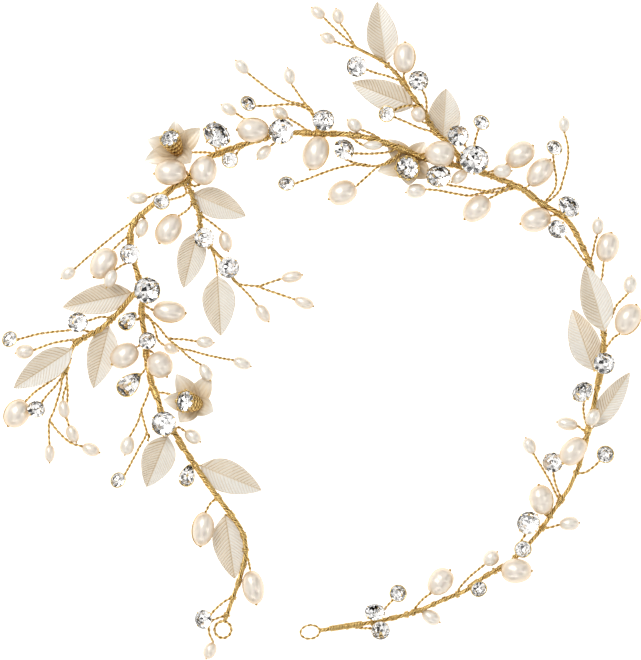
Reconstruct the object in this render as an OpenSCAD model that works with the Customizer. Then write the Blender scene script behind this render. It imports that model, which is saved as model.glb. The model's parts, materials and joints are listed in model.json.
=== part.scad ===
/* [Wire] */
// Radius of the twisted stem at its thick end
stem_r = 0.85; // [0.6:0.05:1.1]
// Radius of the stem in the two thinner tails
tail_r = 0.65; // [0.45:0.05:0.9]
// Radius of the twisted wire that carries one bead or stone
sprig_r = 0.38; // [0.25:0.01:0.5]
// Radius of the single strand inside a bead
strand_r = 0.24; // [0.15:0.01:0.3]
// Height of the stem's centreline over the table
stem_z = 3; // [2.6:0.1:4]
// Gap left in the stem where two sections bend against each other
bend_gap = 0.6; // [0.4:0.1:1]

/* [Beads] */
// Radius of the hole drilled through each pearl
bore_r = 0.4; // [0.35:0.01:0.6]
// How far the strand shows at a pearl's far end
strand_out = 0.35; // [0.2:0.05:0.8]

/* [Stones] */
// Setting height under the girdle, as a share of the stone's diameter
cup_depth = 0.44; // [0.4:0.01:0.5]
// Height of the table over the girdle, as a share of the diameter
crown_rise = 0.15; // [0.1:0.01:0.2]

/* [Leaves] */
// Thickness of the stamped leaf
leaf_t = 0.5; // [0.4:0.05:0.8]
// How far the two halves rise from the midrib, as a share of the width
leaf_fold = 0.12; // [0:0.01:0.25]

/* [Eyelets] */
// Radius of the wire of the round eyelet
eyelet_wire_r = 0.5; // [0.4:0.05:0.6]
// Radius of the round eyelet's hole
eyelet_hole_r = 2; // [1.6:0.1:2.4]
// Radius of the tilted eyelet's hole
tilted_hole_r = 2.5; // [2:0.1:2.6]
// Radius of the wire of the tilted eyelet
tilted_wire_r = 0.4; // [0.3:0.05:0.5]
// Tilt of the second eyelet out of the plane
eyelet_tilt = 42; // [0:1:60]

/* [Hidden] */
$fn = 24;
side_count = 6; // of a swept wire
seat_gap = 0.04; // between a stone and its seat
end_point = 0.2; // length of the pointed ends of a wire, both together
bead_gap = 0.2; // between a pearl and the twisted part of its wire
eyelet_band = 0.6; // straight part of an eyelet's hole
// Shares of a stone's diameter: girdle radius, half girdle height, table radius, depth of the point
girdle_r = 0.45;
girdle_h = 0.03;
table_r = 0.27;
point_z = 0.36;
// Binding wire: radius, its distance into the stem's surface, and from one turn to the next
binding_r = 0.18;
binding_in = 0.16;
binding_pitch = 0.46;
round_eyelet = [-29.3, -90, stem_z];
tilted_eyelet = [-3.1, -90.7, stem_z];
tilted_heading = 8;

// ---- Places where the stem bends by hand, in the plane ----
left_bend = [-52, 36.2];
left_tail_bend = [-34.1, -45.9];
left_spray_bend = [-56.3, 10.4];
inner_spray_bend = [-39.2, 42.3];
top_spray_bend = [41.6, 51.9];
right_bend = [83.4, 11];
right_tail_bend = [74.7, -47.6];
// The end of a section, clear of its bend, on the way to its next point
function off_bend(bend, next) = bend + (next - bend) / norm(next - bend) * (bend_gap + end_point) / 2;

// ---- Routes of the stem's eight sections ----
crown_route = [
  off_bend(left_bend, [-48.3, 39.5]), [-48.3, 39.5], [-44.5, 42.7], [-39.8, 45], [-37.5, 49.8],
  [-31, 52.8], [-24.5, 55.2], [-17, 57.6], [-8, 59.2], [0, 58.9], [8, 58.8], [16, 57.3], [24, 54.5],
  [33, 51], [43, 49], [51, 46.4], [60, 42.7], [66.5, 38], [74, 33], [78.7, 25],
  [81.2, 18.8], off_bend(right_bend, [81.2, 18.8])];
left_side_route = [
  off_bend(left_bend, [-55.6, 32.9]), [-55.6, 32.9], [-57.2, 28.5], [-56.4, 22], [-54.7, 16],
  [-53.5, 10], [-53.8, 4.5], [-52.5, -3], [-52.2, -9], [-50.6, -16.4], [-48.8, -21], [-47.3, -26.5],
  [-43.8, -31], [-40, -37.2], off_bend(left_tail_bend, [-40, -37.2])];
left_tail_route = [
  off_bend(left_tail_bend, [-29.6, -52]), [-29.6, -52], [-26.3, -56.3], [-23.2, -61.5], [-22.5, -67.5],
  [-24.2, -74.5], [-26.5, -81], [-28.6, -86.9]];
left_spray_route = [
  off_bend(left_spray_bend, [-61, 5]), [-61, 5], [-66.3, 0.2], [-73.8, -4.3], [-76.2, -10.8], [-77.6, -14.2]];
inner_spray_route = [
  off_bend(inner_spray_bend, [-38.2, 38.8]), [-38.2, 38.8], [-36.4, 34.5], [-36.2, 31], [-34.6, 27],
  [-31, 22.8], [-28.3, 20], [-26.3, 15.5], [-24.3, 13.4]];
top_spray_route = [
  off_bend(top_spray_bend, [38.5, 56]), [38.5, 56], [34.3, 59.6], [31.3, 64.8], [28, 69.8], [24, 75.5],
  [19.6, 80], [13.5, 83.4], [10.3, 85]];
right_side_route = [
  off_bend(right_bend, [84.6, 4]), [84.6, 4], [85.1, -2], [84.6, -10], [82.6, -20], [80.4, -30],
  [77.9, -40], off_bend(right_tail_bend, [77.9, -40])];
right_tail_route = [
  off_bend(right_tail_bend, [70.2, -54]), [70.2, -54], [65.4, -61], [58, -68.8], [49, -74.3], [43.5, -78.3],
  [37.5, -80.8], [27.5, -85], [16, -87.7], [4, -89.6], [0.3, -90.15]];

// ---- Pearls: [centre, length, width, heading, height, route of the wire from the stem] ----
crown_pearl_list = [
  [[-20.3, 60], 9.5, 7.3, 180, 6.6, [[-16.8, 57.8], [-16, 58.6, 4.6]]],
  [[-45, 47.3], 9.7, 7.7, 185, 5.8, [[-39.4, 45.6]]],
  [[-34.9, 47.8], 9, 7.8, 75, 7.2, [[-39.8, 45.2], [-38.2, 43.2]]],
  [[-1.4, 53.1], 10.5, 7.8, 250, 4.6, [[0.9, 58.9]]],
  [[6.6, 41.2], 9, 7.3, 205, 3.65, [[24.4, 54.2], [22, 51.4], [19.5, 50.2], [17, 48.8], [14, 46.2]]],
  [[35.7, 52.8], 9, 7.8, 0, 7.7, [[29.6, 52.3]]],
  [[59.8, 52.6], 9.5, 7.3, 35, 3.65, [[51.5, 46.2], [54.2, 48.2]]],
  [[65.8, 47.3], 10, 6.8, 50, 3.4, [[61, 42]]],
  [[64.6, 33.1], 9.4, 7.3, 195, 3.65, [[71.6, 34.8]]],
  [[86.2, 24.8], 9, 6.8, 75, 3.4, [[82.6, 13.6], [84.4, 15.2], [84.8, 18]]],
  [[46.9, 36.4], 9.5, 7, 220, 3.5, [[60, 42.7], [57, 42.2], [54, 41.2]]]];
crown_rice_list = [
  [[-23.6, 79], 5.2, 3.6, 133, 4, [[-0.6, 59.1], [-2.5, 65.7], [-5, 67.6], [-10, 68.9], [-15, 71.8]]],
  [[-27.5, 66.3], 5.2, 3.6, 150, 3, [[-16.5, 57.8], [-18.5, 60.5, 1.2], [-22, 63, 1.6]]],
  [[-17, 53.3], 5.5, 3.6, 225, 3, [[-12.5, 58.4], [-13.4, 56.6]]],
  [[-9.3, 76.2], 5, 3.6, 103, 3.6, [[-0.4, 59.1], [-2.3, 65.3], [-5, 68.5]]],
  [[-12, 65], 5, 4, 150, 3, [[-3, 59.2], [-6, 61.4]]],
  [[10.2, 61.6], 5, 3.9, 145, 3.4, [[20, 56], [16, 58.6]]],
  [[15.7, 55.4], 5.9, 2.8, 0, 4.6, [[8.6, 58.8], [10.8, 56.6]]],
  [[28.7, 41.8], 6, 4.5, 190, 3.2, [[57, 44], [54, 41.7], [48, 41], [44, 40.4], [36, 41.8]]],
  [[41.7, 46], 5.5, 3.6, 215, 4.2, [[46, 48.1]]],
  [[54.5, 47.7], 5.5, 4.2, 0, 6.3, [[49.4, 47]]],
  [[73.1, 61.6], 4.6, 3.5, 92, 4.4,
   [[67.2, 37.5], [71.5, 41.5], [72.8, 45], [74, 49.5], [74.4, 53.5], [74, 56.5]]],
  [[83.3, 31.1], 5, 3.6, 85, 3.4, [[80.8, 20], [81.7, 22.6], [82.2, 25.4]]],
  [[-54.8, 39.7], 6, 4, 180, 3.4, [[-46.6, 40.9], [-49.4, 40.9]]]];
left_side_pearl_list = [
  [[-45.4, 5.5], 9.8, 6.7, -5, 3.9, [[-53.6, 7.6], [-52, 6.9]]],
  [[-48.1, -10.4], 8.2, 7.7, 300, 6.1, [[-52.3, -5.6]]],
  [[-58.8, -7.7], 9, 7.3, 215, 5.8, [[-52.5, -3.4]]],
  [[-65.2, 20], 10, 7.5, 235, 3.75, [[-57.2, 28.6], [-60, 26.4]]]];
left_side_rice_list = [
  [[-53.6, 30.6], 5.7, 3.8, 250, 3.6, [[-53.9, 34.6]]],
  [[-44.9, -5.5], 4.5, 3.6, -20, 1.9, [[-53.6, 5.6], [-51.4, 3.7], [-49.9, 0.7], [-48.9, -2.8]]],
  [[-34.5, -12.7], 5.5, 3.8, -60, 4.3,
   [[-53.7, 5], [-51, 3], [-48.6, 0.9], [-45.9, -2.4, 4.4], [-41.9, -5.8, 4.6], [-39.9, -7.8],
    [-37.4, -9.6]]],
  [[-23.6, -10], 5.6, 3.6, -20, 3.6, [[-42.3, -5.5, 4.6], [-38.4, -6.3], [-35, -7.3], [-30.5, -8.3]]],
  [[-34.7, -3.6], 5.3, 3.7, -5, 4.6, [[-45.9, -2.4, 4.4], [-43.5, -2.7], [-40.4, -2.9]]],
  [[-38.4, -32], 5.5, 4.2, -35, 3, [[-44.2, -30.6], [-42.8, -29.2]]],
  [[-58, -34.7], 5.8, 4.4, 255, 3.2, [[-50.8, -15.6], [-52.3, -20.4], [-53.9, -24.2], [-54.9, -27.7]]],
  [[-75.8, 17], 5, 3.8, 215, 3.2, [[-56.3, 32.6], [-60, 30], [-65, 26], [-70, 21.8]]],
  [[-62.9, 15.4], 5.8, 3.8, 245, 6.8, [[-55.9, 20.4], [-58.8, 19.8]]]];
left_tail_pearl_list = [
  [[-35.3, -59.8], 10.3, 6.8, 262, 4.4, [[-30.8, -50.4], [-33, -52]]],
  [[-20.2, -77.3], 10.3, 6.7, 280, 3.4, [[-22.5, -66], [-21.6, -69.5]]],
  [[-33.2, -96.3], 5.3, 3.8, 245, 3, [[-28.2, -85.6], [-32.9, -87.6], [-33.4, -91]]]];
left_spray_pearl_list = [
  [[-91.2, -25.1], 9, 7.5, 235, 3.75, [[-76.9, -12.2], [-81, -15.3, 1.4], [-85.7, -18.5, 1.8]]],
  [[-88.7, -6.5], 5.5, 4.3, 190, 5, [[-70.6, -2.4], [-79.7, -3.8]]],
  [[-81.4, -37.1], 5.4, 3.2, -90, 3,
   [[-77.4, -13.6], [-78.2, -18], [-80, -24], [-81.4, -27.4], [-81.6, -31]]],
  [[-77, -23.7], 5.5, 3.5, -80, 4.4, [[-76.3, -11.4], [-76.2, -16], [-77, -18.8]]],
  [[-74.5, -31.2], 5.5, 3.7, -65, 3, [[-76.1, -15.6], [-76, -19, 1.4], [-76.4, -25.6, 1.4]]],
  [[-69, -35.9], 5.5, 4, -20, 3, [[-81.2, -27.4], [-78.6, -30.8], [-75, -33.9]]]];
inner_spray_pearl_list = [
  [[-45.5, 30.2], 10, 7.3, 235, 3.65, [[-38.1, 38.6], [-40, 36]]],
  [[-28.5, 26.6], 6, 4, 285, 3.4, [[-36.4, 34.8], [-32.5, 32]]],
  [[-17.3, 5], 6, 3.8, -55, 3, [[-24.6, 13.6], [-21.5, 10.5]]],
  [[-8.6, 16], 6.3, 3.6, 10, 3.2, [[-24.6, 13.7], [-19, 13.2], [-16, 14]]],
  [[-5, 8.2], 6, 3.6, -20, 2.8, [[-19.4, 13.2], [-14, 11.3]]]];
top_spray_pearl_list = [
  [[25.2, 81.7], 9.2, 6.8, 88, 4.4, [[25, 74.2]]],
  [[-0.8, 95.3], 4.8, 3.6, 140, 3.4, [[10.8, 84.8], [8, 87.2], [4, 90.8]]],
  [[5.3, 94.2], 4.8, 3.6, 105, 3, [[10.6, 84.9], [8.4, 88.6]]],
  [[2.2, 87.6], 4.6, 3.6, 155, 3, [[11, 84.6], [7, 85.6]]],
  [[29.3, 64.5], 4.8, 4.3, 120, 6, [[32.8, 61.8]]]];
right_side_pearl_list = [
  [[92.3, 3.2], 10, 7.5, 60, 3.75, [[84.9, -6], [86.5, -4.3], [88, -2.4]]],
  [[75.7, -36.3], 9.5, 7, 230, 6.9, [[80.6, -30.6]]]];
right_side_rice_list = [
  [[93, 13.6], 5.3, 4.1, 80, 3, [[85, 0.4], [87.4, 3.8], [88.8, 7.2], [91.2, 9.8]]],
  [[81.6, -26.2], 5.5, 4, 60, 6, [[80, -30]]],
  [[74.2, -28.2], 6.3, 4, 170, 3, [[80.1, -31], [78.7, -29.9]]]];
right_tail_pearl_list = [
  [[66.3, -51], 9, 7.3, 100, 3.65, [[68.8, -56]]],
  [[58.7, -72.2], 9.2, 7.5, 0, 6.4, [[52.4, -72.4]]],
  [[36, -75.6], 9, 7.2, 50, 3.6, [[27.7, -84.8], [28.8, -83], [30.8, -80.8]]]];
right_tail_rice_list = [
  [[62.8, -34.8], 5.2, 3.8, 115, 3.4, [[72, -51.4], [70.8, -49.4], [69.2, -46], [67.8, -43.5], [66, -40.5]]],
  [[74.7, -58.2], 6, 4.3, 5, 3, [[66.4, -59.6], [69, -59.3]]],
  [[51.2, -68.6], 5.3, 4.6, 45, 3, [[41, -79.2], [42.3, -76.8], [45.5, -73.5]]],
  [[33.2, -86.3], 6, 4.4, -30, 2.2, [[26, -85.4], [28.5, -84.2]]]];

// ---- Round stones: [centre, diameter, lean, lean heading, girdle height, wire route] ----
crown_stone_list = [
  [[-21.7, 68], 5, 35, 45, 5, [[-0.8, 59.1], [-2.8, 65.2], [-6, 67.2], [-10, 67.8], [-15, 67.4]]],
  [[-31, 58.5], 8.8, 38, 45, 7.4, [[-31, 52.9], [-31.6, 55]]],
  [[-27.2, 51], 5, 10, 200, 5, [[-23.6, 55.5], [-25.2, 53]]],
  [[0.9, 62.9], 6.8, 12, 80, 6.6, [[1.2, 58.9]]],
  [[-11.8, 59.5], 7.8, 8, 120, 7.6, [[-10, 59]]],
  [[7.1, 54.2], 6.5, 25, 45, 5.6, [[23.4, 54.6], [20, 53.4], [16, 53], [11.5, 53]]],
  [[-10.2, 44], 5, 30, 90, 4.6,
   [[24.8, 54], [22, 50.9], [19, 49.7], [15, 49.2], [10, 49.6], [4, 48.3], [-2, 46.1]]],
  [[41.2, 58.2], 6.6, 10, 110, 7, [[43, 49.4], [44.2, 52.4], [43.6, 55]]],
  [[48.3, 62.3], 5, 30, 60, 5, [[45, 48.8], [45.8, 53], [46.6, 57.4]]],
  [[46, 51], 9, 4, 90, 8.2, [[46.4, 48.6]]],
  [[35.4, 46.2], 7.6, 28, 90, 6.2, [[59.4, 43], [54, 42.6], [50, 41.8], [46, 42.3], [42, 43], [38.4, 43.6]]],
  [[70.2, 54.7], 5, 30, 60, 5, [[66.8, 37.8], [70.2, 42], [70.8, 45.5], [70.3, 49]]],
  [[74.5, 37], 7.2, 38, 45, 7.6, [[72.6, 34.2]]],
  [[71, 30.2], 6, 30, 225, 6, [[81.2, 18.8], [78.5, 21.8], [76, 25.2], [73.6, 28]]],
  [[-47.7, 38.5], 5, 12, 250, 6.2, [[-41.4, 44.4], [-40.4, 41.2, 1], [-43.6, 39.6, 1.6]]]];
left_side_stone_list = [
  [[-57.2, 22.8], 6.2, 8, 180, 6.8, [[-56.4, 21.6]]],
  [[-51.9, 11.9], 8.2, 8, 60, 7.7, [[-53.6, 10.4]]],
  [[-51.9, -3.2], 5.4, 8, 60, 6.4, [[-52.5, -2]]],
  [[-47, -28], 7.6, 8, 120, 7.4, [[-46.9, -27.2]]],
  [[-60.8, -45], 4.9, 30, 135, 4.4,
   [[-53.9, -24.2], [-52.9, -28.2], [-52.3, -31.2], [-54.4, -35.2], [-55.9, -38.1], [-57.8, -41.6]]]];
left_tail_stone_list = [
  [[-35.2, -86.8], 5.9, 30, 180, 5, [[-26.2, -80.2], [-28.3, -81.2], [-31.5, -83.8]]]];
left_spray_stone_list = [
  [[-72.8, 2.3], 6.2, 8, 90, 6, [[-62.4, 3.6], [-66, 3.9], [-69.5, 2.9]]],
  [[-93.3, -2.7], 5, 28, 135, 5, [[-68.4, -1], [-72.3, 0.2], [-76.7, -0.2], [-84.7, -1.2]]],
  [[-85.2, -23.7], 5.5, 25, 80, 6.4, [[-77.4, -13.8], [-80, -17.3], [-83, -20.7]]]];
inner_spray_stone_list = [
  [[-35, 27.6], 6.3, 8, 200, 6.6, [[-35.3, 29]]],
  [[-27.5, 18.7], 6.5, 8, 300, 6.8, [[-28.4, 20]]]];
top_spray_stone_list = [
  [[10.8, 79], 6.4, 15, 200, 5.4, [[24.6, 74.6], [20, 76.3], [16, 77.4]]],
  [[19.8, 64.8], 5, 15, 180, 5.4, [[34.9, 59.2], [30, 60.6], [26, 62.3]]],
  [[29.4, 74.8], 6.3, 12, 60, 6.2, [[31.8, 63.8], [31.9, 66.8], [31.4, 70.4]]]];
right_side_stone_list = [
  [[85, -10], 6.7, 8, 60, 6.8, [[84.6, -9]]],
  [[78.5, -18.5], 6.9, 42, 135, 5.8, [[80.4, -30], [79.2, -26], [79, -22.4]]],
  [[85.5, -37.3], 5.3, 10, 60, 5, [[76.8, -42.8], [79.5, -42.8], [82.6, -40.6]]]];
right_tail_stone_list = [
  [[69.7, -39.7], 6.3, 12, 90, 4.1, [[72.4, -50.8], [71.4, -48.4], [70.4, -45.4], [69.9, -42.5]]],
  [[62.3, -57.8], 7.3, 28, 135, 5.6, [[58.4, -68.3], [60, -64]]],
  [[60.7, -65.7], 5.2, 8, 300, 6.4, [[61.4, -65.4]]],
  [[47.5, -77.7], 5, 20, 300, 5.9, [[44.8, -77.3]]],
  [[23.3, -79], 5.2, 12, 45, 4.8, [[17.5, -87.3], [19.6, -83.4], [21.3, -81.6]]],
  [[16.3, -84.5], 6.3, 42, 90, 7, [[15.4, -87.8]]],
  [[18, -90.2], 5.8, 12, 270, 4.8, [[8, -89.1], [13, -89.6]]]];

// ---- Pear stones: [middle, length, width, heading of the round end, height, wire route] ----
left_side_pear_list = [
  [[-57.6, 2.9], 6.8, 5.4, 225, 6.4, [[-53.7, 3.6], [-55.6, 3]]],
  [[-57.2, -16.1], 9, 6.8, 225, 5.2, [[-52, -10.6], [-53.6, -13]]],
  [[-39.9, -43.5], 7.2, 5.2, 255, 6.4, [[-37.6, -41], [-38.6, -41.6]]]];

// ---- Leaves: [base, tip, width, height at the base, height at the tip, tie wire route] ----
left_side_leaf_list = [
  [[-56.5, 11.3], [-77.5, 6.8], 9, 0.9, 0.5, [[-53.4, 11.4]]],
  [[-46, -31.7], [-52.3, -47.2], 10, 2, 0.9, [[-44.4, -30.2]]],
  [[-36.3, -40.7], [-17.8, -48.2], 10, 1.1, 0.4, [[-37.8, -40.4]]]];
left_tail_leaf_list = [
  [[-28.7, -55.5], [-25.8, -74.8], 10, 0.9, 0.5, [[-26.6, -56]]]];
left_spray_leaf_list = [
  [[-74.4, -5.6], [-92.1, -17.5], 9, 3.9, 3, [[-73.6, -4]]],
  [[-63.6, 1.2], [-68.3, -17.5], 9, 1.5, 0.9, [[-63.4, 2.8]]]];
inner_spray_leaf_list = [
  [[-38.5, 41], [-22.5, 34.3], 9, 1.5, 0.9, [[-39, 41.4]]],
  [[-37, 29.5], [-41.2, 12.7], 8.5, 1.5, 0.9, [[-36.2, 31.4]]],
  [[-31, 16.5], [-30, -1.7], 10, 1.4, 0.8, [[-33, 25.2], [-31.6, 21]]]];
top_spray_leaf_list = [
  [[19.6, 80.3], [17.1, 98.7], 9.5, 1.5, 0.9, [[20, 79.6]]],
  [[28.2, 67.2], [9.5, 74.4], 9, 1.5, 0.9, [[30, 67]]],
  [[36.7, 57.3], [37.8, 72.6], 10, 1.1, 0.7, [[37.4, 57]]]];
right_side_leaf_list = [
  [[85.3, -0.5], [79.5, 19.3], 9.5, 4, 4.2, [[85, -1.4]]],
  [[82.2, -12.3], [75.8, 6.2], 9.5, 1.15, 1.35, [[84.2, -11.8]]],
  [[81.8, -29.5], [93, -12.8], 7, 1.5, 1, [[80.6, -29.6]]]];

// ---- Flowers: [petal middle, petal tips, petal height, cup foot, stone middle, stone diameter,
//      stone height, wire route] ----
crown_flower_list = [
  [[-43, 54], [[-43.8, 62.8], [-52, 57.2], [-52.8, 50.8], [-39, 50.3], [-36.2, 60.7]], 2.2,
   [-42.8, 53.4], [-45.2, 57.5], 5.9, 8.2, [[-30.6, 53], [-35, 53.4, 1.6], [-39.4, 53.4, 1.6]]],
  [[26.8, 50.2], [[20.2, 57.3], [31.4, 56.5], [17.3, 47.7], [26.5, 43.5], [33, 46]], 1,
   [27.4, 50], [26, 48.5], 7, 6.4, [[25.6, 53.9], [25.8, 52.6, 1.6]]]];
left_side_flower_list = [
  [[-37.8, -21.8], [[-43.3, -13.3], [-33.2, -13.7], [-32.2, -24.5], [-42.3, -27.7], [-47, -21]], 2,
   [-36.6, -22.3], [-40.7, -21.3], 6.4, 7.6, [[-49.6, -18.6], [-46.5, -19, 2.2], [-42, -20.4, 2]]]];

// ---- Plain wires that join two others: routes in three dimensions ----
crown_link_list = [
  [[15, 49.4, 3.6], [10, 50.3, 3.4], [5.6, 52.2, 2.6]],
  [[42.6, 49.2, 3], [42.2, 50.4, 3], [41.8, 51.4, 3]],
  [[-39.6, 45, 3], [-39.4, 43.8, 3], [-39.25, 42.8, 3]]];
left_side_link_list = [
  [[-53.5, 11.2, 3], [-54.8, 10.9, 3], [-55.8, 10.6, 3]],
  [[-52.3, -30.6, 3.2], [-51.5, -31.8, 3.4], [-51.9, -33.4, 3.5]]];
top_spray_link_list = [[[29.9, 67.3, 3], [25.4, 67.3, 3.4], [21.2, 65.6, 3.4]]];

// ---- Binding coils: [middle, heading, turns, radius round which they wrap] ----
crown_binding_list = [
  [[-46.4, 41.1], 41, 9, stem_r], [[-28, 53.9], 21, 8, stem_r], [[-4.4, 59.2], 3, 6, stem_r],
  [[38.4, 50], -12, 7, stem_r], [[63.3, 40.4], -40, 7, stem_r]];
left_side_binding_list = [
  [[-57.1, 27.2], 88, 7, stem_r], [[-52.4, -6.6], 90, 7, stem_r], [[-49.7, -18.8], 110, 8, stem_r],
  [[-42, -34.2], 122, 8, stem_r]];
right_side_binding_list = [
  [[83.7, -14.6], 77, 8, stem_r], [[79.2, -34.6], 76, 8, stem_r]];
right_tail_binding_list = [
  [[46.3, -76.2], 37, 7, tail_r], [[10, -88.6], 9, 12, tail_r], [[5, -89.4], 9, 10, tail_r]];

// ================= Functions =================
function lift(p, z) = [p[0], p[1], len(p) > 2 ? p[2] : z];
function unit(v) = v / norm(v);
function planar(heading) = [cos(heading), sin(heading), 0];
// A smooth curve through the points a, b, c, d, between b and c
function between(a, b, c, d, t) =
  0.5 * (2 * b + (c - a) * t + (2 * a - 5 * b + 4 * c - d) * t * t
  + (3 * b - a - 3 * c + d) * t * t * t);
function smooth(p, steps) = let (n = len(p)) n < 3 ? p : concat(
  [for (i = [0:n - 2]) for (s = [0:steps - 1])
    between(p[max(i - 1, 0)], p[i], p[i + 1], p[min(i + 2, n - 1)], s / steps)],
  [p[n - 1]]);
// A route given in the plane, rising evenly from the stem to its end
function risen(route, end) = let (n = len(route))
  concat([for (i = [0:n - 1]) lift(route[i], stem_z + (end[2] - stem_z) * i / n)], [end]);
function stem_path(route) = smooth([for (p = route) lift(p, stem_z)], 3);
function pearl_mid(p) = lift(p[0], p[4]);
function pearl_near(p) = pearl_mid(p) - planar(p[3]) * (p[1] / 2 + bead_gap);
function pearl_far(p) = pearl_mid(p) + planar(p[3]) * (p[1] / 2 + strand_out);
function lean_axis(lean, heading) =
  [sin(lean) * cos(heading), sin(lean) * sin(heading), cos(lean)];
function cup_foot(s) = lift(s[0], s[4]) - lean_axis(s[2], s[3]) * s[1] * (cup_depth - 0.03);
// Width of a leaf or petal at a share t of its length, widest nearer its base
function blade_share(t) = pow(sin(180 * pow(t, 0.75)), 0.8);
// Seat of a stone of diameter d, from its rim to the axis
function seat(d) = [
  [girdle_r * d + seat_gap, girdle_h * d], [girdle_r * d + seat_gap, -girdle_h * d],
  [girdle_h * d + seat_gap, -point_z * d - seat_gap], [0, -point_z * d - seat_gap]];
function ring(at, along, r) = let (
    side = unit(cross(along, abs(along[2]) > 0.9 ? [1, 0, 0] : [0, 0, 1])),
    up = cross(side, along))
  [for (k = [0:side_count - 1]) at
    + r * (cos(k * 360 / side_count) * side + sin(k * 360 / side_count) * up)];

// ================= Shared shapes =================
// A wire swept along a path, with the radius at each point, and pointed ends
module sweep(path, radii) {
  n = len(path);
  tangents = [for (i = [0:n - 1]) unit(path[min(i + 1, n - 1)] - path[max(i - 1, 0)])];
  rings = [for (i = [0:n - 1]) ring(path[i], tangents[i], radii[i])];
  ends = [path[0] - tangents[0] * end_point / 2, path[n - 1] + tangents[n - 1] * end_point / 2];
  first = n * side_count;
  polyhedron(
    points = concat([for (r = rings) for (p = r) p], ends),
    faces = concat(
      [for (i = [0:n - 2]) for (k = [0:side_count - 1]) let (
          a = i * side_count + k, b = i * side_count + (k + 1) % side_count)
        each [[a, b, a + side_count], [b, b + side_count, a + side_count]]],
      [for (k = [0:side_count - 1]) [first, (k + 1) % side_count, k]],
      [for (k = [0:side_count - 1]) let (a = (n - 1) * side_count)
        [first + 1, a + k, a + (k + 1) % side_count]]));
}

module wire(path, r) sweep(path, [for (p = path) r]);

module stem(route, r, end_r) {
  path = stem_path(route);
  sweep(path, [for (i = [0:len(path) - 1]) r + (end_r - r) * i / (len(path) - 1)]);
}

// The wire of one pearl: twisted up to the bead, then one strand through it
module pearl_wire(p) {
  near = pearl_near(p);
  path = smooth(risen(p[5], near), 2);
  thin = [near + planar(p[3]) * 0.25, pearl_far(p)];
  sweep(concat(path, thin), concat([for (q = path) sprig_r], [strand_r, strand_r]));
}

module stone_wire(s) wire(smooth(risen(s[5], cup_foot(s)), 2), sprig_r);
module tie_wire(leaf) wire(smooth(risen(leaf[5], lift(leaf[0], leaf[3] + leaf_t / 2)), 2), sprig_r);
module flower_wire(f) wire(smooth(risen(f[7], lift(f[3], f[2] + 0.3)), 2), sprig_r);

// A drilled pearl, round in section, turned about its long axis
module pearl(p) {
  half = p[1] / 2;
  steps = 10;
  end_a = asin(min(0.9, bore_r / (p[2] / 2)));
  outline = [for (i = [0:steps]) let (a = end_a + (180 - 2 * end_a) * i / steps)
    [p[2] / 2 * sin(a), -half * cos(a)]];
  translate(pearl_mid(p)) rotate([0, 0, p[3]]) rotate([0, 90, 0])
    rotate_extrude()
      polygon(concat(outline, [[bore_r, half * cos(end_a)], [bore_r, -half * cos(end_a)]]));
}

module lean_to(middle, lean, heading)
  translate(middle) rotate([0, 0, heading]) rotate([0, lean, 0]) rotate([0, 0, -heading]) children();

module cut_stone(d) rotate_extrude()
  polygon([[0, -point_z * d], [girdle_h * d, -point_z * d], [girdle_r * d, -girdle_h * d],
    [girdle_r * d, 0.01 * d], [table_r * d, crown_rise * d], [0, crown_rise * d]]);

// Cup with four claws bent over the stone
module claw_cup(d) {
  rotate_extrude()
    polygon(concat([[0, -cup_depth * d], [0.2 * d, -cup_depth * d], [0.5 * d, -0.06 * d],
      [0.5 * d, girdle_h * d]], seat(d)));
  for (k = [0:3]) rotate([0, 0, 45 + 90 * k]) translate([0.44 * d, 0, -0.05 * d])
    cylinder(r = 0.065 * d, h = 0.15 * d);
}

// Hull of a round end, the first child, and a pointed end, the second
module pear_outline(length, width, d_tip) hull() {
  translate([length / 2 - width / 2, 0, 0]) children(0);
  translate([-length / 2 + d_tip / 2, 0, 0]) children(1);
}

module pear_stone(p) translate(lift(p[0], p[4])) rotate([0, 0, p[3]])
  pear_outline(p[1] * 0.9, p[2] * 0.9, p[2] * 0.25) {
    union() {
      cylinder(d1 = p[2] * 0.9, d2 = p[2] * 0.55, h = p[2] * 0.14);
      translate([0, 0, -p[2] * 0.3]) cylinder(d1 = p[2] * 0.2, d2 = p[2] * 0.9, h = p[2] * 0.3);
    }
    cylinder(d = p[2] * 0.2, h = 0.1);
  }

module pear_cup(p) translate(lift(p[0], p[4])) rotate([0, 0, p[3]]) difference() {
  translate([0, 0, -p[2] * 0.4]) pear_outline(p[1], p[2], p[2] * 0.3) {
    cylinder(d1 = p[2] * 0.5, d2 = p[2], h = p[2] * 0.42);
    cylinder(d1 = p[2] * 0.15, d2 = p[2] * 0.3, h = p[2] * 0.42);
  }
  translate([0, 0, -p[2] * 0.31]) pear_outline(p[1] * 0.91, p[2] * 0.92, p[2] * 0.25) {
    cylinder(d1 = p[2] * 0.24, d2 = p[2] * 0.92, h = p[2] * 0.34);
    cylinder(d1 = p[2] * 0.1, d2 = p[2] * 0.24, h = p[2] * 0.34);
  }
}

module pear_wire(p) wire(risen(p[5], lift(p[0], p[4] - p[2] * 0.38)), sprig_r);

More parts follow.
